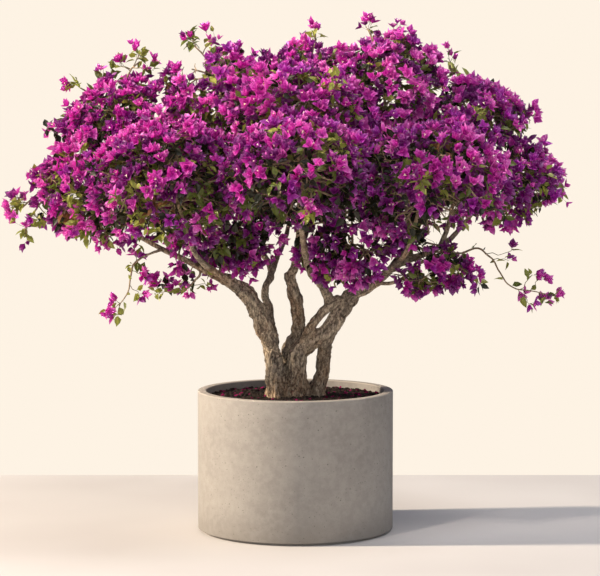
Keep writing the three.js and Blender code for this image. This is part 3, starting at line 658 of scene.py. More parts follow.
def limb_mesh(name, number):
    """A closed tube along a limb with a domed end, its flutes winding slowly round it."""
    at, along, radius = limbs[name]
    if name in STEMS:
        keep = at[:, 2] > SOIL_TOP - ROOT_DEPTH
        at, along, radius = at[keep], along[keep], radius[keep]
    at = np.concatenate([at, at[-1] + along[-1] * radius[-1] * LIMB_END[:, None]])
    along = np.concatenate([along, np.repeat(along[-1:], len(LIMB_END), 0)])
    radius = np.concatenate([radius, radius[-1] * np.sqrt(1 - LIMB_END ** 2)])
    length = np.arange(len(at)) * RING_STEP
    angle = turns(LIMB_SIDES) + WINDING * length[:, None]
    round_ = np.stack([np.cos(angle), np.sin(angle)], 2) * radius[:, None, None]
    each_length, each_radius = (np.repeat(values, LIMB_SIDES) for values in (length, radius))
    stand = sinews(round_.reshape(-1, 2), each_length, each_radius, number)
    reach = radius[:, None] * (1 + stand.reshape(len(at), -1))
    places = at[:, None] + reach[..., None] * circles(*across_line(along), LIMB_SIDES)
    places = np.concatenate([places.reshape(-1, 3), at[:1] - along[:1] * 2, at[-1:] + along[-1:] * 2])
    k = np.arange(LIMB_SIDES)
    after = (k + 1) % LIMB_SIDES
    last, pole = (len(at) - 1) * LIMB_SIDES, len(at) * LIMB_SIDES + 0 * k
    caps = [np.column_stack([pole, after, k]), np.column_stack([pole + 1, last + k, last + after])]
    return places, np.concatenate([walls(len(at), LIMB_SIDES), *caps])


def joined(parts):
    """Places and faces of many meshes as one."""
    starts = np.cumsum([0] + [len(places) for places, _ in parts[:-1]])
    return (np.concatenate([places for places, _ in parts]),
            np.concatenate([faces + start for (_, faces), start in zip(parts, starts)]))


def read_out(mesh, name):
    """Three numbers for each corner point of a mesh."""
    values = np.zeros(len(mesh.vertices) * 3, np.float32)
    mesh.vertices.foreach_get(name, values)
    return values.reshape(-1, 3).astype(float)


def carry(mesh, name, values):
    """Gives each corner point of a mesh a value that its material can read."""
    mesh.attributes.new(name, "FLOAT", "POINT").data.foreach_set("value", values.astype(np.float32))


def carried(s, name):
    return s.node("ShaderNodeAttribute", {"attribute_name": name}, output="Fac")


def nearest_limb(places):
    """For each place, which of the limbs' rows is nearest, and how far off the bark it is."""
    best, far = [], []
    for start in range(0, max(len(places), 1), 2000):
        part = places[start:start + 2000]
        gap = np.linalg.norm(part[:, None] - limb_rows[None, :, :3], axis=2) - limb_rows[:, 9]
        best.append(gap.argmin(1))
        far.append(gap.min(1))
    return np.concatenate(best), np.concatenate(far)


def bark_surface(s):
    """Grey-brown in warm and cool patches, with pale flakes; paler ridges, partly painted highlight; dark
    cracks and furrows, partly painted shade.
    """
    furrow, ridge = carried(s, "furrow"), carried(s, "ridge")
    drawn_out = s.node("ShaderNodeMapping", {}, {"Vector": s.place(), "Scale": (1.0, 1.0, 0.45)})
    warm = s.noise(4.5, 3, 0.5).step(0.48, 0.62)
    flake = s.noise(120, 4, 0.65, drawn_out)
    crack = s.maths("ABSOLUTE", s.noise(70, 4, 0.6, drawn_out) - 0.5, 0).step(0.045, 0.0)
    grain = s.noise(420, 3, 0.7)
    # The pale ridge coat is partly painted highlight; the dark crack and furrow coats are partly painted
    # shade.
    colour = s.noise(16, 4, 0.6).step(0.35, 0.68).mix("B9A78E", "8A7D6F").under(
        (warm * 0.55, "B48A60"), (ridge * 0.8, "E0CDAE"), (flake.step(0.5, 0.66) * 0.75, "E2CFB0"),
        (flake.step(0.45, 0.32) * 0.75, "58442F"), (crack * 0.6, "40301F"),
        (grain.step(0.55, 0.7) * 0.3, "E6D6BA"), (furrow * 0.85, "38291A"))
    return s.skin(colour, 0.88, s.bump(flake + 0.4 * grain - 0.6 * crack, 0.006, 0.9))


tubes = [limb_mesh(name, number) for number, name in enumerate(limbs)]
raw = mesh_object("bark_raw", *joined(tubes), None)
fuse = raw.modifiers.new("fuse", "REMESH")
fuse.mode = "VOXEL"
fuse.voxel_size = BARK_MESH
bark_mesh = plain_mesh(raw)

# The bark's furrows and ridges are raised on the fused limbs, following the limb nearest to each place.
limb_rows = []
for number, (at, along, radius) in enumerate(limbs.values()):
    across, beside = across_line(along)
    length = np.arange(len(at)) * RING_STEP
    limb_rows.append(np.column_stack([at, across, beside, radius, length, np.full(len(at), 11 * number)]))
limb_rows = np.concatenate(limb_rows)
skin = read_out(bark_mesh, "co") / MM
row = limb_rows[nearest_limb(skin)[0]]
out = skin - row[:, :3]
across, beside, radius, offset = row[:, 3:6], row[:, 6:9], row[:, 9], row[:, 11]
x, y = (out * across).sum(1), (out * beside).sum(1)
length = row[:, 10] + (out * np.cross(across, beside)).sum(1)
angle = WINDING * length
x, y = x * np.cos(angle) + y * np.sin(angle), y * np.cos(angle) - x * np.sin(angle)
long_crack = grained(x, y, length, 9, 52, offset, 7) + 0.5 * grained(x, y, length, 4.4, 15, offset, 8)
cross_crack = grained(x, y, length, 16, 6.5, offset, 9)
old = np.clip((radius - 5) / 18, 0.12, 1)
furrow = np.clip(1 - np.abs(long_crack) / FURROW_WIDTH, 0, 1) ** 1.2
across_it = 0.55 * np.clip(1 - np.abs(cross_crack) / CROSS_CRACK_WIDTH, 0, 1) * (long_crack > 0.1)
furrow = np.maximum(furrow, across_it)
ridge = np.clip(np.abs(long_crack) - 0.35, 0, 1)
lumps = hum(skin / 19, 12) + 0.6 * hum(skin / 9, 13)
swell = hum(skin / 34, 14)
lift = old * (-FURROW_DEPTH * furrow + RIDGE_HEIGHT * ridge + CROSS_HEIGHT * cross_crack
              + LUMP_HEIGHT * lumps + SWELL_HEIGHT * swell)
skin += read_out(bark_mesh, "normal") * lift[:, None]
skin[:, 2] = np.maximum(skin[:, 2], SOIL_TOP - BARK_DEPTH)
bark_mesh.vertices.foreach_set("co", (skin * MM).ravel().astype(np.float32))
# The furrow and ridge masks carry painted shade and painted highlight to the bark's colour as well as its
# own darker furrows.
carry(bark_mesh, "furrow", furrow * np.clip(old * 1.6, 0, 1))
carry(bark_mesh, "ridge", ridge)
bark_mesh.polygons.foreach_set("use_smooth", np.ones(len(bark_mesh.polygons), bool))
bark_mesh.materials.append(finish("bark", bark_surface))
bark_mesh.update()
fit(placed("bark_limbs", bark_mesh), "bark", "trunk", *bough_names)

# Twigs: they branch three times from the end of each bough, long ones to the outside of the mass,
# shorter ones from those, and finest ones that carry the blossom. Old ones are woody and grey-brown,
# the finest are green.
GOLDEN_TURN = math.pi * (3 - 5 ** 0.5)
MASS_SEED = 1000
SPRAY_SEED = 5000
SEED_STEP = 17
ROOT_INSIDE = 4
STEM_STEP = 10
STEM_ONWARD = 12
STEM_BEND = 0.45
STEM_PAST = 0.35
STEM_SIDES = 8
TWIG_SIDES = 5
TARGETS = 25
FULL_REACH = 260
FINER = 5
TARGET_DEPTHS = (0.68, 0.82)
FINE_DEPTHS = (0.52, 0.8)
INNER_SHARE = 0.82
TWIG_ROOM = -12
TIP_BACK = 42
TWIG_LEAVING = 0.55
TWIG_SAG = 0.1
FINE_LEAVING = 0.5
FINEST_ONWARD = 0.75
FINEST_OUTWARD = 0.55
FINEST_STRAY = 0.85
FINEST_RISE = 0.12
SHOOT_OUTWARD = 0.1
WANDER = 0.035
TWIG_WANDER = 0.02
SIDE_WANDER = 0.05
SIDE_STRAY = 12
SIDE_BACK = 0.55
HEAD_SAG = 0.4
TWIG_CLEAR = 14
FINE_CLEAR = 12
FINEST_CLEAR = 18
TWIG_THICK = (5, 2.6)
FINE_THICK = (2.5, 1.3)
FINEST_THICK = (1.15, 0.7)
SPRAY_THIN = 1.7
SIDE_THICK = (1.8, 1.1)
FINE_FROM = np.linspace(0.3, 0.86, 8)
FINEST_FROM_FINE = (0.4, 0.6, 0.78, 0.9, 1.0)
FINEST_FROM_TWIG = (0.7, 0.86, 1.0)
FINEST_FROM_SHOOT = (0.45, 0.6, 0.72, 0.84, 0.95)
FINEST_LENGTHS = (24, 58)
SHOOT_LENGTHS = (14, 34)
HEAD_LENGTHS = (5, 12)
FINEST_OUTER = 0.87
RANGY_SHARE = 0.07
RANGY_OUTER = 1.02
BLOOM_ODDS = (0.15, 0.4, 0.9, 0.96, 1.0)
SHOOT_BLOOM = 0.6
FINE_LEAVES = (0.25, 0.5, 0.72, 0.9)
TWIG_LEAVES = (0.45, 0.62, 0.8)
SIDE_LEAVES = (0.55, 0.7, 0.94, 1.0)
LEAFY_ALWAYS = (0.3, 0.55)
LEAFY_TIPS = (0.8, 1.0)
UNDERSIDE = -0.35
UNDERSIDE_KEPT = 0.68
UNDERSIDE_BLOOM = 0.45
IN_BLOOM_BELOW = ("inner_left", "inner_right", "right_under")
SPRAY_STEP = 12
SPRAY_KINK = 2.6
LEAF_GAP = 2.6
LEAF_SLIPS = (0.0, 0.012, 0.024)
SKY_GAPS = [  # where the sky shows through: across and up on the plane through the trunk, width, thinning
    ((-368, 1668), 62, 0.95), ((-70, 1725), 50, 0.85), ((-490, 1520), 40, 0.8), ((-18, 1107), 35, 0.8),
    ((81, 1094), 45, 0.85), ((225, 1066), 38, 0.7), ((271, 1123), 28, 0.7), ((396, 1126), 38, 0.8),
    ((344, 1080), 34, 0.7), ((560, 1120), 70, 0.65), ((660, 1090), 60, 0.5), ((-330, 1060), 40, 0.5),
    ((-520, 1010), 70, 0.6), ((-60, 1010), 70, 0.7), ((85, 1728), 42, 0.75), ((165, 1755), 42, 0.8),
    ((222, 1742), 32, 0.7), ((-357, 1605), 38, 0.7), ((-765, 1550), 38, 0.75), ((-905, 1310), 36, 0.75),
    ((832, 1430), 40, 0.8), ((930, 1325), 36, 0.75), ((700, 1612), 34, 0.75), ((367, 826), 50, 0.8),
    ((474, 815), 55, 0.85), ((582, 840), 50, 0.8), ((374, 917), 55, 0.85), ((246, 995), 30, 0.75),
    ((317, 970), 34, 0.75), ((592, 995), 38, 0.7), ((523, 1163), 26, 0.8), ((516, 1060), 48, 0.6),
]
OUTER_SHOOTS = {  # the tips of the long shoots that stand out of the crown, seen from the front
    "left_top": [(-551, 10, 1746), (-815, -30, 1629), (-851, 60, 1477), (-908, -40, 1434),
        (-700, 40, 1660), (-500, -30, 1685), (-620, 20, 1700)],
    "top_left": [(-384, -30, 1795), (-292, 30, 1792), (-178, -60, 1736)],
    "top_centre": [(80, -20, 1822), (62, -60, 1790), (-30, 80, 1730)],
    "top_right": [(246, -20, 1832), (342, 10, 1815), (392, -60, 1795), (300, 90, 1770)],
    "right_top": [(538, -10, 1728), (567, 40, 1672), (781, 20, 1540), (859, -30, 1494)],
    "right": [(899, 20, 1381), (925, -40, 1310), (985, -10, 1200), (960, 70, 1250), (880, -120, 1150)],
    "left_low": [(-952, 20, 1274), (-1015, -20, 1168), (-1041, -24, 1139), (-1000, -25, 1043),
        (-930, -60, 1097), (-867, -30, 1089), (-784, -90, 1060), (-900, 90, 1200), (-690, -60, 1030),
        (-640, -110, 1000), (-560, -60, 960)],
    "inner_left": [(-420, -110, 905), (-330, -120, 890), (-300, -20, 880), (-170, -100, 905),
        (-120, 0, 930)],
    "inner_right": [(60, -120, 900), (120, -160, 880), (-20, -60, 960)],
    "right_under": [(420, -110, 850), (560, -60, 880), (330, -110, 870)],
    "left_front": [(-600, -700, 1210), (-380, -705, 1230), (-720, -560, 1330)],
    "left_back": [(-620, 690, 1230), (-400, 720, 1290), (-720, 600, 1300)],
    "top_front": [(-60, -600, 1600), (140, -560, 1620)],
    "top_back": [(80, 610, 1620), (-120, 560, 1640)],
    "front": [(-60, -845, 1270), (130, -820, 1330), (40, -800, 1160)],
    "back": [(60, 855, 1270), (-140, 820, 1250), (150, 800, 1180)],
    "right_front": [(660, -670, 1220), (420, -705, 1260), (740, -560, 1320)],
    "right_back": [(660, 680, 1240), (420, 720, 1290), (740, 590, 1320)],
}
SPRAY_HEADS = {  # where the heads of blossom on each spray are
    "left_hanging": [(-555, -120, 868), (-547, -140, 932), (-558, -100, 978), (-547, -122, 1012),
        (-629, -120, 833), (-626, -104, 784), (-658, -128, 806)],
    "left_under": [(-384, -80, 902), (-430, -76, 860), (-494, -74, 858), (-318, -96, 893),
        (-497, -90, 912), (-462, -70, 892), (-520, -84, 898)],
    "right_arch": [(766, -58, 1007), (757, -40, 972), (841, -60, 922), (872, -44, 908), (824, -60, 824),
        (880, -40, 818), (796, -50, 846), (918, -52, 846)],
    "back_left_trailing": [(-380, 460, 950), (-350, 520, 930), (-410, 520, 905), (-440, 540, 850),
        (-405, 560, 835), (-330, 440, 990)],
    "back_right_trailing": [(575, 385, 960), (600, 360, 935), (640, 430, 915), (672, 400, 880),
        (690, 430, 850), (530, 380, 985)],
}


def nearest_rows(places, targets):
    """For each target, which of the places lies nearest to it, and how far off."""
    gap = np.linalg.norm(targets[:, None] - places[None], axis=2)
    best = gap.argmin(1)
    return best, gap[np.arange(len(targets)), best]


def off_limbs(places, room):
    return nearest_limb(places)[1] > room


def within(index, places, outer=1.06):
    """Whether places lie in their own mass and not deep inside another one."""
    depth = np.linalg.norm((places[:, None] - CENTRES[None]) / HALVES[None], axis=2)
    others = np.arange(len(CENTRES)) != index
    keep = in_own_space(index, places, TWIG_ROOM) & (depth[:, index] < outer)
    return keep & (depth[:, others] > INNER_SHARE).all(1)


def outwards(index, places):
    return unit((places - CENTRES[index]) / HALVES[index] ** 2)


def open_to_sky(places, rng):
    """True where a place stays, so that the sky shows through the crown where it should."""
    from_eye = places * MM - EYE
    flat = np.array(EYE) + from_eye * (-EYE[1] / from_eye[:, [1]])
    kept = np.ones(len(places), bool)
    for (x, z), width, share in SKY_GAPS:
        near = np.hypot(flat[:, 0] / MM - x, flat[:, 2] / MM - z) < width
        kept &= ~near | (rng.uniform(size=len(places)) > share)
    return kept


def even_ways(count, rng):
    """Directions spread evenly all round."""
    z = 1 - 2 * (np.arange(count) + 0.5) / count
    turn = GOLDEN_TURN * np.arange(count) + rng.uniform(0, 6.28)
    flat = np.sqrt(1 - z * z)
    return np.column_stack([flat * np.cos(turn), flat * np.sin(turn), z])


def bent(starts, leaving, ends, steps, rng, wander=WANDER):
    """Paths that leave their root along one heading and bend over to their tip."""
    length = np.linalg.norm(ends - starts, axis=1)[:, None]
    bend = starts + leaving * length * 0.5
    t = np.linspace(0, 1, steps + 1)[None, :, None]
    path = (1 - t) ** 2 * starts[:, None] + 2 * t * (1 - t) * bend[:, None] + t * t * ends[:, None]
    path[:, 1:-1] += rng.normal(0, wander, path[:, 1:-1].shape) * length[:, None]
    return path


def on(paths, share):
    """The place and heading a share of the way along each path."""
    spot = np.broadcast_to(np.asarray(share, float), len(paths)) * (paths.shape[1] - 1)
    i = np.minimum(spot.astype(int), paths.shape[1] - 2)
    n = np.arange(len(paths))
    here, there = paths[n, i], paths[n, i + 1]
    return here + (there - here) * (spot - i)[:, None], unit(there - here)


def copies(shapes, faces):
    """Places and faces of many copies that all have the same faces."""
    starts = (np.arange(len(shapes)) * shapes.shape[1])[:, None, None]
    return shapes.reshape(-1, 3), (faces[None] + starts).reshape(-1, 3)


def square_to(along):
    return unit(np.cross(along, (0.31, 0.52, 0.79)))


def tubes_of(paths, thick, thin, sides=3):
    """Closed tubes of a few sides along paths that all have the same number of places."""
    count, steps = paths.shape[:2]
    along = unit(np.gradient(paths, axis=1))
    across = square_to(along[:, :1])
    across = unit(across - (across * along).sum(2, keepdims=True) * along)
    radius = np.linspace(0, 1, steps) * (thin - thick) + thick
    places = paths[:, :, None] + circles(across, np.cross(along, across), sides) * radius[:, None, None]
    fan, last = np.arange(1, sides - 1), (steps - 1) * sides
    caps = [np.column_stack([0 * fan, fan + 1, fan]), last + np.column_stack([0 * fan, fan, fan + 1])]
    return copies(places.reshape(count, -1, 3), np.concatenate([walls(steps, sides), *caps]))


woody, green = [], []
hosts, stalks = [], []  # where heads and leaves can stand: place, heading, clump, way out of the crown
clump_places, shoot_clumps = [], []


def new_clumps(places):
    """Numbers for new clumps of twigs, one at each place."""
    numbers = len(clump_places) + np.arange(len(places))
    clump_places.extend(places)
    return numbers


def leafy(index, paths, shares, clump):
    for share in shares:
        place, heading = on(paths, share)
        stalks.append((place, heading, clump, outwards(index, place)))


def finest(index, roots, ways, clump, rng, odds=1.0, lengths=FINEST_LENGTHS, outward=FINEST_OUTWARD,
           inside=True):
    """The finest twigs, each from a root and a heading, in or outside the masses."""
    out = outwards(index, roots)
    stray = FINEST_STRAY * unit(rng.normal(size=roots.shape))
    way = unit(FINEST_ONWARD * ways + outward * out + stray + (0, 0, FINEST_RISE))
    rangy = (rng.uniform(size=len(roots)) < RANGY_SHARE) & inside
    length = rng.uniform(*lengths, len(roots)) * np.where(rangy, 2, 1)
    tips = roots + way * length[:, None]
    keep = off_limbs(tips, FINEST_CLEAR)
    if inside:
        keep &= open_to_sky(tips, rng) & within(index, tips, np.where(rangy, RANGY_OUTER, FINEST_OUTER))
        sparse = (out[:, 2] < UNDERSIDE) & (SPACE_NAMES[index][5:] not in IN_BLOOM_BELOW)
        odds = np.where(sparse, UNDERSIDE_BLOOM * odds, odds)
    if not keep.any():
        return
    odds = np.broadcast_to(odds, len(keep))[keep]
    roots, ways, way, tips, clump, out = (values[keep] for values in (roots, ways, way, tips, clump, out))
    path = bent(roots, unit(ways + way), tips, 2, rng)
    green.append(tubes_of(path, *FINEST_THICK))
    blooms = rng.uniform(size=len(path)) < odds
    hosts.append([values[blooms] for values in (*on(path, 1.0), clump, out)])
    for share in LEAFY_ALWAYS + LEAFY_TIPS:
        leaves_here = ~blooms | (share in LEAFY_ALWAYS)
        stalks.append([values[leaves_here] for values in (*on(path, share), clump, out)])


def shoot_ends(tips, centre):
    """Where the twigs of shoots end, so that their outermost bracts reach the given tips."""
    tips = np.array(tips, float).reshape(-1, 3)
    return tips - TIP_BACK * unit(tips - centre)


def grow_mass(name):
    """All that grows in one mass: its stem, long twigs, shorter ones, and the finest ones on both."""
    index = SPACE_NAMES.index("mass_" + name)
    centre, half = CENTRES[index], HALVES[index]
    carrier, shoots = MASSES[name][2:]
    rng = np.random.default_rng(MASS_SEED + SEED_STEP * index)
    tip, along, radius = (part[-1] for part in limbs[carrier])
    root = tip - ROOT_INSIDE * along
    rise = centre - root
    far_end = drawn_in(index, centre + rise * STEM_PAST, BOUGH_ROOM)
    bend = root + rise * STEM_BEND + STEM_ONWARD * along
    stem, stem_way = curve([root, bend, centre, far_end], STEM_STEP)
    woody.append(tubes_of(stem[None], radius, 0.5 * radius, STEM_SIDES))

    upper = len(stem) // 2
    count = round(TARGETS * (half.mean() / FULL_REACH) ** 2)
    ends = centre + even_ways(count, rng) * half * rng.uniform(*TARGET_DEPTHS, count)[:, None]
    ends = ends[within(index, ends) & off_limbs(ends, TWIG_CLEAR)]
    ends = np.concatenate([ends, shoot_ends(shoots, centre)])
    best, _ = nearest_rows(stem[upper:], ends)
    starts, leaving = stem[upper:][best], stem_way[upper:][best]
    leaving = unit(unit(ends - starts) + TWIG_LEAVING * leaving - (0, 0, TWIG_SAG))
    twigs = bent(starts, leaving, ends, 6, rng, TWIG_WANDER)
    woody.append(tubes_of(twigs, *TWIG_THICK, TWIG_SIDES))

    ways = even_ways(count * FINER, rng)
    fine_ends = centre + ways * half * rng.uniform(*FINE_DEPTHS, len(ways))[:, None]
    keep = within(index, fine_ends) & off_limbs(fine_ends, FINE_CLEAR)
    kept_below = 1 if name in IN_BLOOM_BELOW else UNDERSIDE_KEPT
    keep &= (ways[:, 2] > UNDERSIDE) | (rng.uniform(size=len(ways)) < kept_below)
    outer_ends = shoot_ends(OUTER_SHOOTS[name], centre)
    fine_ends = np.concatenate([fine_ends[keep], outer_ends])
    spots = zip(*(on(twigs, share) for share in FINE_FROM))
    starts, leaving = (np.stack(part, 1).reshape(-1, 3) for part in spots)
    best, _ = nearest_rows(starts, fine_ends)
    starts, leaving = starts[best], leaving[best]
    leaving = unit(unit(fine_ends - starts) + FINE_LEAVING * leaving)
    fine = bent(starts, leaving, fine_ends, 4, rng)
    woody.append(tubes_of(fine, *FINE_THICK))
    clump = new_clumps(fine_ends)

    for share, odds in zip(FINEST_FROM_FINE, BLOOM_ODDS):
        finest(index, *on(fine, share), clump, rng, odds)
    shoot, shoot_clump = fine[-len(outer_ends):], clump[-len(outer_ends):]
    shoot_clumps.extend(shoot_clump)
    for share in FINEST_FROM_SHOOT:
        finest(index, *on(shoot, share), shoot_clump, rng, SHOOT_BLOOM, SHOOT_LENGTHS, SHOOT_OUTWARD, False)
    twig_clump = new_clumps(twigs[:, -1])
    for share in FINEST_FROM_TWIG:
        finest(index, *on(twigs, share), twig_clump, rng)
    leafy(index, fine, FINE_LEAVES, clump)
    leafy(index, twigs, TWIG_LEAVES, twig_clump)


def grow_spray(name):
    """A thin shoot that hangs or arches out of the crown, with leaves in pairs and a few heads."""
    index = SPACE_NAMES.index("spray_" + name)
    rng = np.random.default_rng(SPRAY_SEED + SEED_STEP * list(SPRAYS).index(name))
    at, along, _ = limbs[name + "_bough"]
    path, _ = curve([at[-1] - 3 * along[-1], *SPRAYS[name][3]], SPRAY_STEP)
    share = np.linspace(0, 1, len(path))
    nodes = np.linspace(0, 1, max(5, round(len(path) / LEAF_GAP)))
    knots = rng.normal(0, SPRAY_KINK, (len(nodes), 3)) * (nodes[:, None] > 0)
    path = path + np.stack([np.interp(share, nodes, knots[:, axis]) for axis in range(3)], 1)
    woody.append(tubes_of(path[None], SPRAY_THICK, SPRAY_THIN, TWIG_SIDES))
    heads = np.array(SPRAY_HEADS[name], float)
    best, far = nearest_rows(path[2:], heads)
    roots = path[2:][np.maximum(best - (SIDE_BACK * far / SPRAY_STEP).astype(int), 0)]
    leaving = unit(heads - roots + rng.normal(0, SIDE_STRAY, heads.shape))
    side = bent(roots, leaving, heads, 4, rng, SIDE_WANDER)
    green.append(tubes_of(side, *SIDE_THICK))
    clump = new_clumps([*heads, *(path[0] + nodes[:, None] * (path[-1] - path[0]))])
    head_clump, node_clump = clump[:len(heads)], clump[len(heads):]
    for slip in LEAF_SLIPS:
        leafy(index, np.repeat(path[None], len(nodes), 0), [(nodes + slip).clip(0, 1)], node_clump)
    leafy(index, side, SIDE_LEAVES, head_clump)
    spot, way = on(side, 0.97)
    finest(index, spot, unit(way - (0, 0, HEAD_SAG)), head_clump, rng, 1.0, HEAD_LENGTHS, 0.0, False)


def twig_surface(s):
    colour = s.noise(60, 3, 0.6).step(0.35, 0.68).mix("78644F", "A89274")
    return s.skin(colour, 0.8, s.bump(s.noise(500, 3, 0.6), 0.001, 0.5))


for name in MASSES:
    grow_mass(name)
first_spray_clump = len(clump_places)
for name in SPRAYS:
    grow_spray(name)
fit(mesh_object("twigs_woody", *joined(woody), finish("twig_bark", twig_surface)), "bark", *SPACE_NAMES)

# Blossom: three papery bracts stand round each small pale flower, in loose bunches on thin stalks at
# the twigs' ends, magenta, the colour dealt out by bunch: more pink towards the top and left as painted
# sunlight, more purple towards the right and deep in the shaded middle and inside the crown as painted
# shade.
BLOSSOM_SEED = 77
BRACT_LENGTHS = (23, 37)
BRACT_SIZES = (0.86, 1.1)
OPENINGS = (13, 50)
BUNCH = (2, 5)
STALK_LENGTHS = (8, 21)
STALK_RADIUS = 0.9
STALK_ONWARD = 0.7
STALK_OUTWARD = 0.45
STALK_STRAY = 0.75
STALK_RISE = 0.25
HEAD_STRAY = 0.25
LEAN_STRAY = 0.12
BRACT = np.array([[0, 0, 0], [-0.34, 0.1, 0.3], [0, -0.05, 0.28], [0.34, 0.1, 0.3],
                  [-0.27, 0.05, 0.66], [0, -0.11, 0.62], [0.27, 0.05, 0.66], [0, -0.1, 1]])
BRACT_FACES = np.array([[0, 2, 1], [0, 3, 2], [1, 2, 5], [1, 5, 4], [2, 3, 6], [2, 6, 5], [4, 5, 7],
                        [5, 6, 7]])
BRACT_LIT = 0.32
CROWN_REACH = 900
CROWN_MIDDLE = 1300
CROWN_RISE = 450
HOLLOW_PATCH = ((40, 1215), (520, 165))  # middle and half widths, as seen from the front
SHADED_PATCH = ((120, 1150), (420, 170))
HOLLOW_FROM = 0.75
HOLLOW_MORE = 0.85
# How far inside the crown the heads start to be painted in shade.
SHADE_INSIDE = 0.72
BARE_INSIDE = 0.52
STRAY_SHARE = 0.3
# Pink and bright grow towards the lit top and left as painted sunlight; purple grows to the right and deep
# in the shaded patch as painted shade.
BRACT_COLOURS = {  # the colour, its share, and how that grows upwards, to the right and in the shade
    "bright": ("CC34B2", 0.38, 0.3, -0.2, 0), "pink": ("E05CC6", 0.22, 0.7, -0.3, 0),
    "deep": ("8A1C84", 0.23, -0.3, 0, 2.2), "purple": ("B02EAE", 0.17, 0, 0.5, 0),
}
FALLEN_DENSITY = 850
FALLEN_SIZES = (0.011, 0.024)
FALLEN_TILT = 0.4
FALLEN_LIFT = 180
FALLEN_SEED = 5


def depth_in_crown(places):
    """0 in the middle of a mass and 1 on its surface."""
    return np.min([np.linalg.norm((places - at) / half, axis=1) for at, half in zip(CENTRES, HALVES)], 0)


def patch(places, middle, widths):
    """1 in the middle of a soft patch of the crown, falling to 0 far from it."""
    x, z = ((places[:, axis] - at) / width for axis, at, width in zip((0, 2), middle, widths))
    return np.exp(-x ** 2 - z ** 2)


def frames(ways, rng):
    """Two directions across each heading, turned at random about it."""
    spin = rng.uniform(0, 2 * np.pi, len(ways))[:, None]
    across = unit(np.cross(ways, unit(rng.normal(size=ways.shape)) + (0.01, 0.02, 0)))
    beside = np.cross(ways, across)
    return across * np.cos(spin) + beside * np.sin(spin), beside * np.cos(spin) - across * np.sin(spin)


def thorns_of(roots, tips, radius):
    """Thin three-sided stalks that come to a point at their root."""
    along = unit(tips - roots)
    across = square_to(along)
    beside = np.cross(along, across)
    corners = [tips + radius * (math.cos(turn) * across + math.sin(turn) * beside)
               for turn in (0, 2.094, 4.189)]
    return copies(np.stack([roots, *corners], 1), np.array([[0, 1, 2], [0, 2, 3], [0, 3, 1], [1, 3, 2]]))


def petals_of(shape, places, ways, lengths, side, face):
    """Copies of a leaf-like shape: its length runs along ways, its width along side."""
    x, y, z = (shape[:, axis][None, :, None] for axis in range(3))
    reach = x * side[:, None] + y * face[:, None] + z * ways[:, None]
    return places[:, None] + lengths[:, None, None] * reach


rng = np.random.default_rng(BLOSSOM_SEED)
place, way, clump, out = (np.concatenate(part) for part in zip(*hosts))
hollow_from = HOLLOW_FROM - HOLLOW_MORE * patch(place, *HOLLOW_PATCH)
hollow = hum(place / 75, 31) + 0.5 * hum(place / 36, 32) > hollow_from
kept = (clump >= first_spray_clump) | ((depth_in_crown(place) > BARE_INSIDE) & ~hollow)
place, way, clump, out = (values[kept] for values in (place, way, clump, out))
bunch = rng.integers(BUNCH[0], BUNCH[1] + 1, len(clump))
bunch = np.where(np.isin(clump, shoot_clumps), (bunch + 1) // 2, bunch)
place, way, clump, out = (np.repeat(values, bunch, 0) for values in (place, way, clump, out))
count = len(place)
stray = STALK_STRAY * unit(rng.normal(size=(count, 3)))
stalk_way = unit(STALK_ONWARD * way + STALK_OUTWARD * out + stray + (0, 0, STALK_RISE))
stalk_end = place + stalk_way * rng.uniform(*STALK_LENGTHS, count)[:, None]
green.append(thorns_of(place, stalk_end, STALK_RADIUS))
head_way = unit(stalk_way + HEAD_STRAY * unit(rng.normal(size=(count, 3))))
head_length = rng.uniform(*BRACT_LENGTHS, count)
opening = np.radians(rng.uniform(*OPENINGS, count))
round_one, round_two = frames(head_way, rng)
bracts = []
for turn in turns(3):
    radial = round_one * math.cos(turn) + round_two * math.sin(turn)
    lean = opening + rng.normal(0, LEAN_STRAY, count)
    up = head_way * np.cos(lean)[:, None] + radial * np.sin(lean)[:, None]
    inner = head_way * np.sin(lean)[:, None] - radial * np.cos(lean)[:, None]
    size = head_length * rng.uniform(*BRACT_SIZES, count)
    bracts.append(petals_of(BRACT, stalk_end, up, size, np.cross(inner, up), inner))
bracts = np.stack(bracts, 1).reshape(count, -1, 3)
head_faces = np.concatenate([BRACT_FACES + len(BRACT) * third for third in range(3)])


def shoot_surface(s):
    return s.skin(s.noise(45, 2, 0.5).step(0.35, 0.65).mix("5E6B35", "7C5B3C"), 0.6)


# The stalks complete the green twigs.
fit(mesh_object("twigs_green", *joined(green), finish("green_twig", shoot_surface)), "leaves", *SPACE_NAMES)


def lit_through(s, share, outer, light):
    """A thin sheet: its outer surface, and the light that comes through it, in its own colour."""
    through = s.node("ShaderNodeBsdfTranslucent", {}, {"Color": light})
    return s.node("ShaderNodeMixShader", {}, {0: share, 1: outer, 2: through})


def petal_surface(code, roughness=0.42, gloss=0.5):
    """Deep at the bract's base and paler towards its point and along the veins, partly its own colour and
    partly painted shade and painted highlight, and lit through.
    """
    def surface(s):
        red, green, blue, _ = paint(code)
        vein = s.noise(170, 3, 0.65)
        point = carried(s, "point")
        base = (0.72 * red, 0.5 * green, 0.74 * blue, 1.0)
        pale = (min(1, 1.25 * red + 0.06), 2.6 * green + 0.13, min(1, 1.3 * blue + 0.1), 1.0)
        # Dark at the base where the bracts meet, pale at the point and veins: partly painted shade and
        # painted highlight.
        colour = point.step(0.05, 0.6).mix(base, (red, green, blue, 1.0))
        colour = colour.under(((point * 0.55 + vein).step(0.72, 1.12), pale))
        outer = s.skin(colour, roughness, s.bump(vein, 0.002, 0.5), gloss)
        return lit_through(s, BRACT_LIT, outer, (red, 0.35 * green, 0.8 * blue, 1.0))
    return surface


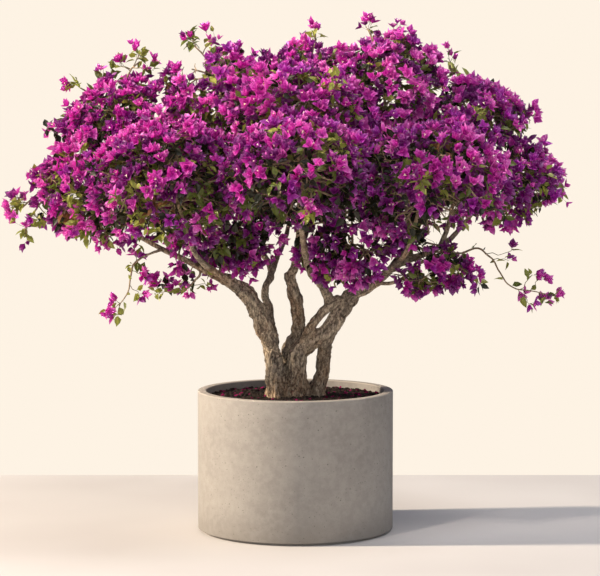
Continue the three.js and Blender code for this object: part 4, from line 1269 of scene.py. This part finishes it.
def dealt(colours, rng):
    """Which of the colours each clump has, more of one and less of another from place to place."""
    odds = np.column_stack([share * np.exp(up * lean_up + right * lean_right + shade * shaded)
                            for _, share, up, right, shade in colours.values()])
    odds = np.cumsum(odds / odds.sum(1, keepdims=True), 1)
    return (rng.uniform(size=len(odds))[:, None] > odds).sum(1).clip(0, odds.shape[1] - 1)


# The colours lean with place to paint light and shade: sunlit pink on top and to the left, purple to the
# right, deep in the shaded middle; sprays and shoots count as high and out of the shade.
clump_at = np.array(clump_places)
lean_right = clump_at[:, 0] / CROWN_REACH
lean_up = (clump_at[:, 2] - CROWN_MIDDLE) / CROWN_RISE
lean_up[first_spray_clump:] = 0.8
shaded = patch(clump_at, *SHADED_PATCH)
shaded[first_spray_clump:] = -0.5
shaded[shoot_clumps] = -0.5
clump_colour = dealt(BRACT_COLOURS, rng)
stray = rng.uniform(size=count) < STRAY_SHARE
head_colour = np.where(stray, rng.permutation(clump_colour[clump]), clump_colour[clump])
# Heads deep inside the crown take the deep colour as painted shade.
shaded_inside = (depth_in_crown(stalk_end) < SHADE_INSIDE) & (clump < first_spray_clump)
head_colour[shaded_inside] = list(BRACT_COLOURS).index("deep")
for number, (name, (code, *_)) in enumerate(BRACT_COLOURS.items()):
    piece = mesh_object("bracts_" + name, *copies(bracts[head_colour == number], head_faces),
                        finish("bract_" + name, petal_surface(code)), smooth=False)
    carry(piece.data, "point", np.resize(BRACT[:, 2], len(piece.data.vertices)))
    fit(piece, "blossom", *SPACE_NAMES)

# Fallen bracts, duller and redder than those on the plant, lie flat on the soil.
flat_bract = BRACT[:, [0, 2, 1]] * (1, 1, -1) / MM + (0, 0, FALLEN_LIFT)
flat_bract = mesh_object("fallen", flat_bract, BRACT_FACES, None)
fallen = strew("fallen_bracts", soil_top, flat_bract, FALLEN_DENSITY, FALLEN_SIZES, FALLEN_TILT, FALLEN_SEED,
               finish("fallen_bract", petal_surface("B02A6E", 0.8, 0.12)))
bpy.data.objects.remove(soil_top)
fit(fallen, "blossom", "soil")

# Flowers: in the middle of some of the heads, on the same stalk as the bracts, a thin cream tube
# opens into a small star of soft petals.
FLOWER_SHARE = 0.17
NECK_RADIUS = 0.035
THROAT_HEIGHT = 0.52
STAR_HEIGHT = 0.6
STAR_RADII = (0.15, 0.06)
neck = ring(NECK_RADIUS, 0, 3)
throat = neck * (1.2, 1.2, 1) + (0, 0, THROAT_HEIGHT)
star = ring(np.tile(STAR_RADII, 3), STAR_HEIGHT, 6)
flower = np.concatenate([neck, throat, star, [[0, 0, 0.56]]])
side, point = np.arange(3), np.arange(6)
low, tip, dip = 3 + side, 6 + 2 * side, 7 + 2 * side
low_after, tip_after = 3 + (side + 1) % 3, 6 + (2 * side + 2) % 6
flower_faces = [walls(2, 3)] + [np.column_stack(corners) for corners in (
    (12 + 0 * point, 6 + point, 6 + (point + 1) % 6), (low, dip, tip), (low, low_after, dip),
    (low_after, tip_after, dip))]


def flower_surface(s):
    return s.skin(s.noise(200, 2, 0.5).step(0.4, 0.6).mix("FAF0DC", "F3DDBE"), 0.6)


bloom = rng.uniform(size=count) < FLOWER_SHARE
heads = stalk_end, head_way, head_length, round_one, round_two
flowers = copies(petals_of(flower, *(values[bloom] for values in heads)), np.concatenate(flower_faces))
flowers = mesh_object("flowers", *flowers, finish("flower", flower_surface), smooth=False)
fit(flowers, "blossom", *SPACE_NAMES)

# Leaves: egg-shaped and pointed, a little folded along the middle, on the finest twigs and inside
# the crown, green, with near-black ones as painted shade, more in the shaded middle, pale yellow-green ones
# as painted sunlight towards the top, and a few young reddish ones.
LEAF_LENGTHS = (30, 52)
LEAF_SHARE = 0.47
FEWER_RIGHT = 0.14
LEAF_LIT = 0.3
LEAF_ONWARD = 0.45
LEAF_OUTWARD = 0.25
LEAF_SAG = 0.12
FACE_OUTWARD = 0.5
FACE_UP = 0.9
FACE_STRAY = 0.55
LEAF = np.array([[0, 0, 0.16], [-0.25, 0.08, 0.40], [0, 0, 0.42], [0.25, 0.08, 0.40],
                 [-0.20, 0.04, 0.68], [0, -0.03, 0.70], [0.20, 0.04, 0.68], [0, -0.12, 1],
                 [-0.014, 0, 0], [0.014, 0, 0]])
LEAF_FACES = np.concatenate([BRACT_FACES, [[8, 9, 0]]])
# Near-black leaves grow in the shaded patch as painted shade; light ones grow upwards and out of it as
# painted sunlight.
LEAF_COLOURS = {  # the colour, its share, and how that grows upwards, to the right and in the shade
    "dark": ("202110", 0.42, -0.1, 0, 2), "green": ("606A2C", 0.32, 0, 0, 0),
    "light": ("8E9442", 0.2, 0.3, 0, -2), "young": ("7C5838", 0.03, 0, 0, 0),
}
place, way, clump, out = (np.concatenate(part) for part in zip(*stalks))
keep = rng.uniform(size=len(place)) < LEAF_SHARE - FEWER_RIGHT * place[:, 0] / CROWN_REACH
keep &= open_to_sky(place, rng)
place, way, clump, out = (values[keep] for values in (place, way, clump, out))
stray = unit(rng.normal(size=way.shape))
leaf_way = unit(LEAF_ONWARD * way + LEAF_OUTWARD * out + stray + (0, 0, -LEAF_SAG))
face = unit(FACE_OUTWARD * out + (0, 0, FACE_UP) + FACE_STRAY * rng.normal(size=way.shape))
side = unit(np.cross(face, leaf_way))
length = rng.uniform(*LEAF_LENGTHS, len(place))
leaves = petals_of(LEAF, place, leaf_way, length, side, np.cross(leaf_way, side))
leaf_colour = dealt(LEAF_COLOURS, rng)[clump]


def leaf_surface(code):
    """Darker and paler along the veins, with a slight shine, and lit through."""
    def surface(s):
        vein = s.noise(120, 3, 0.6)
        pale = (*(1.3 * c for c in paint(code)[:3]), 1.0)
        outer = s.skin(vein.step(0.35, 0.7).mix(code, pale), 0.42, s.bump(vein, 0.0016, 0.35))
        return lit_through(s, LEAF_LIT, outer, pale)
    return surface


for number, (name, (code, *_)) in enumerate(LEAF_COLOURS.items()):
    piece = mesh_object("leaves_" + name, *copies(leaves[leaf_colour == number], LEAF_FACES),
                        finish("leaf_" + name, leaf_surface(code)), smooth=False)
    fit(piece, "leaves", *SPACE_NAMES)

# Ground and light, which are no part of the plant: a plain pale floor that ends in a soft cream
# glow, a broad warm light low on the left, and a little soft light from all round.
FLOOR_SIDE = 9000
FLOOR_FAR = 1240
floor_places = [(-FLOOR_SIDE, -FLOOR_SIDE, 0), (FLOOR_SIDE, -FLOOR_SIDE, 0), (FLOOR_SIDE, FLOOR_FAR, 0),
                (-FLOOR_SIDE, FLOOR_FAR, 0)]


def floor_surface(s):
    return s.skin(s.noise(1.1, 2, 0.5).step(0.3, 0.7).mix("DAD6D3", "E1DEDB"), 0.9)


floor_finish = finish("floor", floor_surface)
mesh_object("floor", floor_places, [(0, 1, 2), (0, 2, 3)], floor_finish, smooth=False)


def area_light(name, place, towards, size, power, colour, spread=180):
    data = bpy.data.lights.new(name, "AREA")
    data.shape = "DISK"
    data.size = size
    data.spread = math.radians(spread)
    data.energy = power
    data.color = colour
    lamp = placed(name, data)
    lamp.location = place
    away = [a - b for a, b in zip(place, towards)]
    lamp.rotation_euler = (math.atan2(math.hypot(away[0], away[1]), away[2]), 0,
                           math.atan2(away[1], away[0]) + math.pi / 2)


def cream_glow(s):
    """The cream that the camera sees, and the cooler, weaker light that the plant gets from it."""
    seen = s.node("ShaderNodeBackground", {}, {"Color": paint("FEF3E4"), "Strength": 1.0})
    felt = s.node("ShaderNodeBackground", {}, {"Color": paint("E2E9FA"), "Strength": 0.33})
    straight = s.node("ShaderNodeLightPath", {}, {}, "Is Camera Ray")
    return s.node("ShaderNodeMixShader", {}, {0: straight, 1: felt, 2: seen})


area_light("sun", (-9.3, -0.7, 4.7), (0, 0, 0.9), 0.6, 1860, (1.0, 0.84, 0.66))
area_light("sky_window", (0.6, -6.2, 1.5), (0, 0, 1.0), 2.6, 56, (1.0, 0.97, 0.95))
area_light("skylight", (2.6, -1.4, 6.6), (0, 0, 1.5), 2.2, 160, (1.0, 0.96, 0.94))
area_light("crown_lamp", (-3.8, -5.1, 6.7), (0.05, 0, 1.74), 0.5, 9, (1.0, 0.88, 0.78), 20)
world = bpy.data.worlds.new("glow")
bpy.context.scene.world = world
world.use_nodes = True
end_in(world.node_tree, "ShaderNodeOutputWorld", cream_glow)
bpy.context.scene.view_settings.view_transform = "Standard"
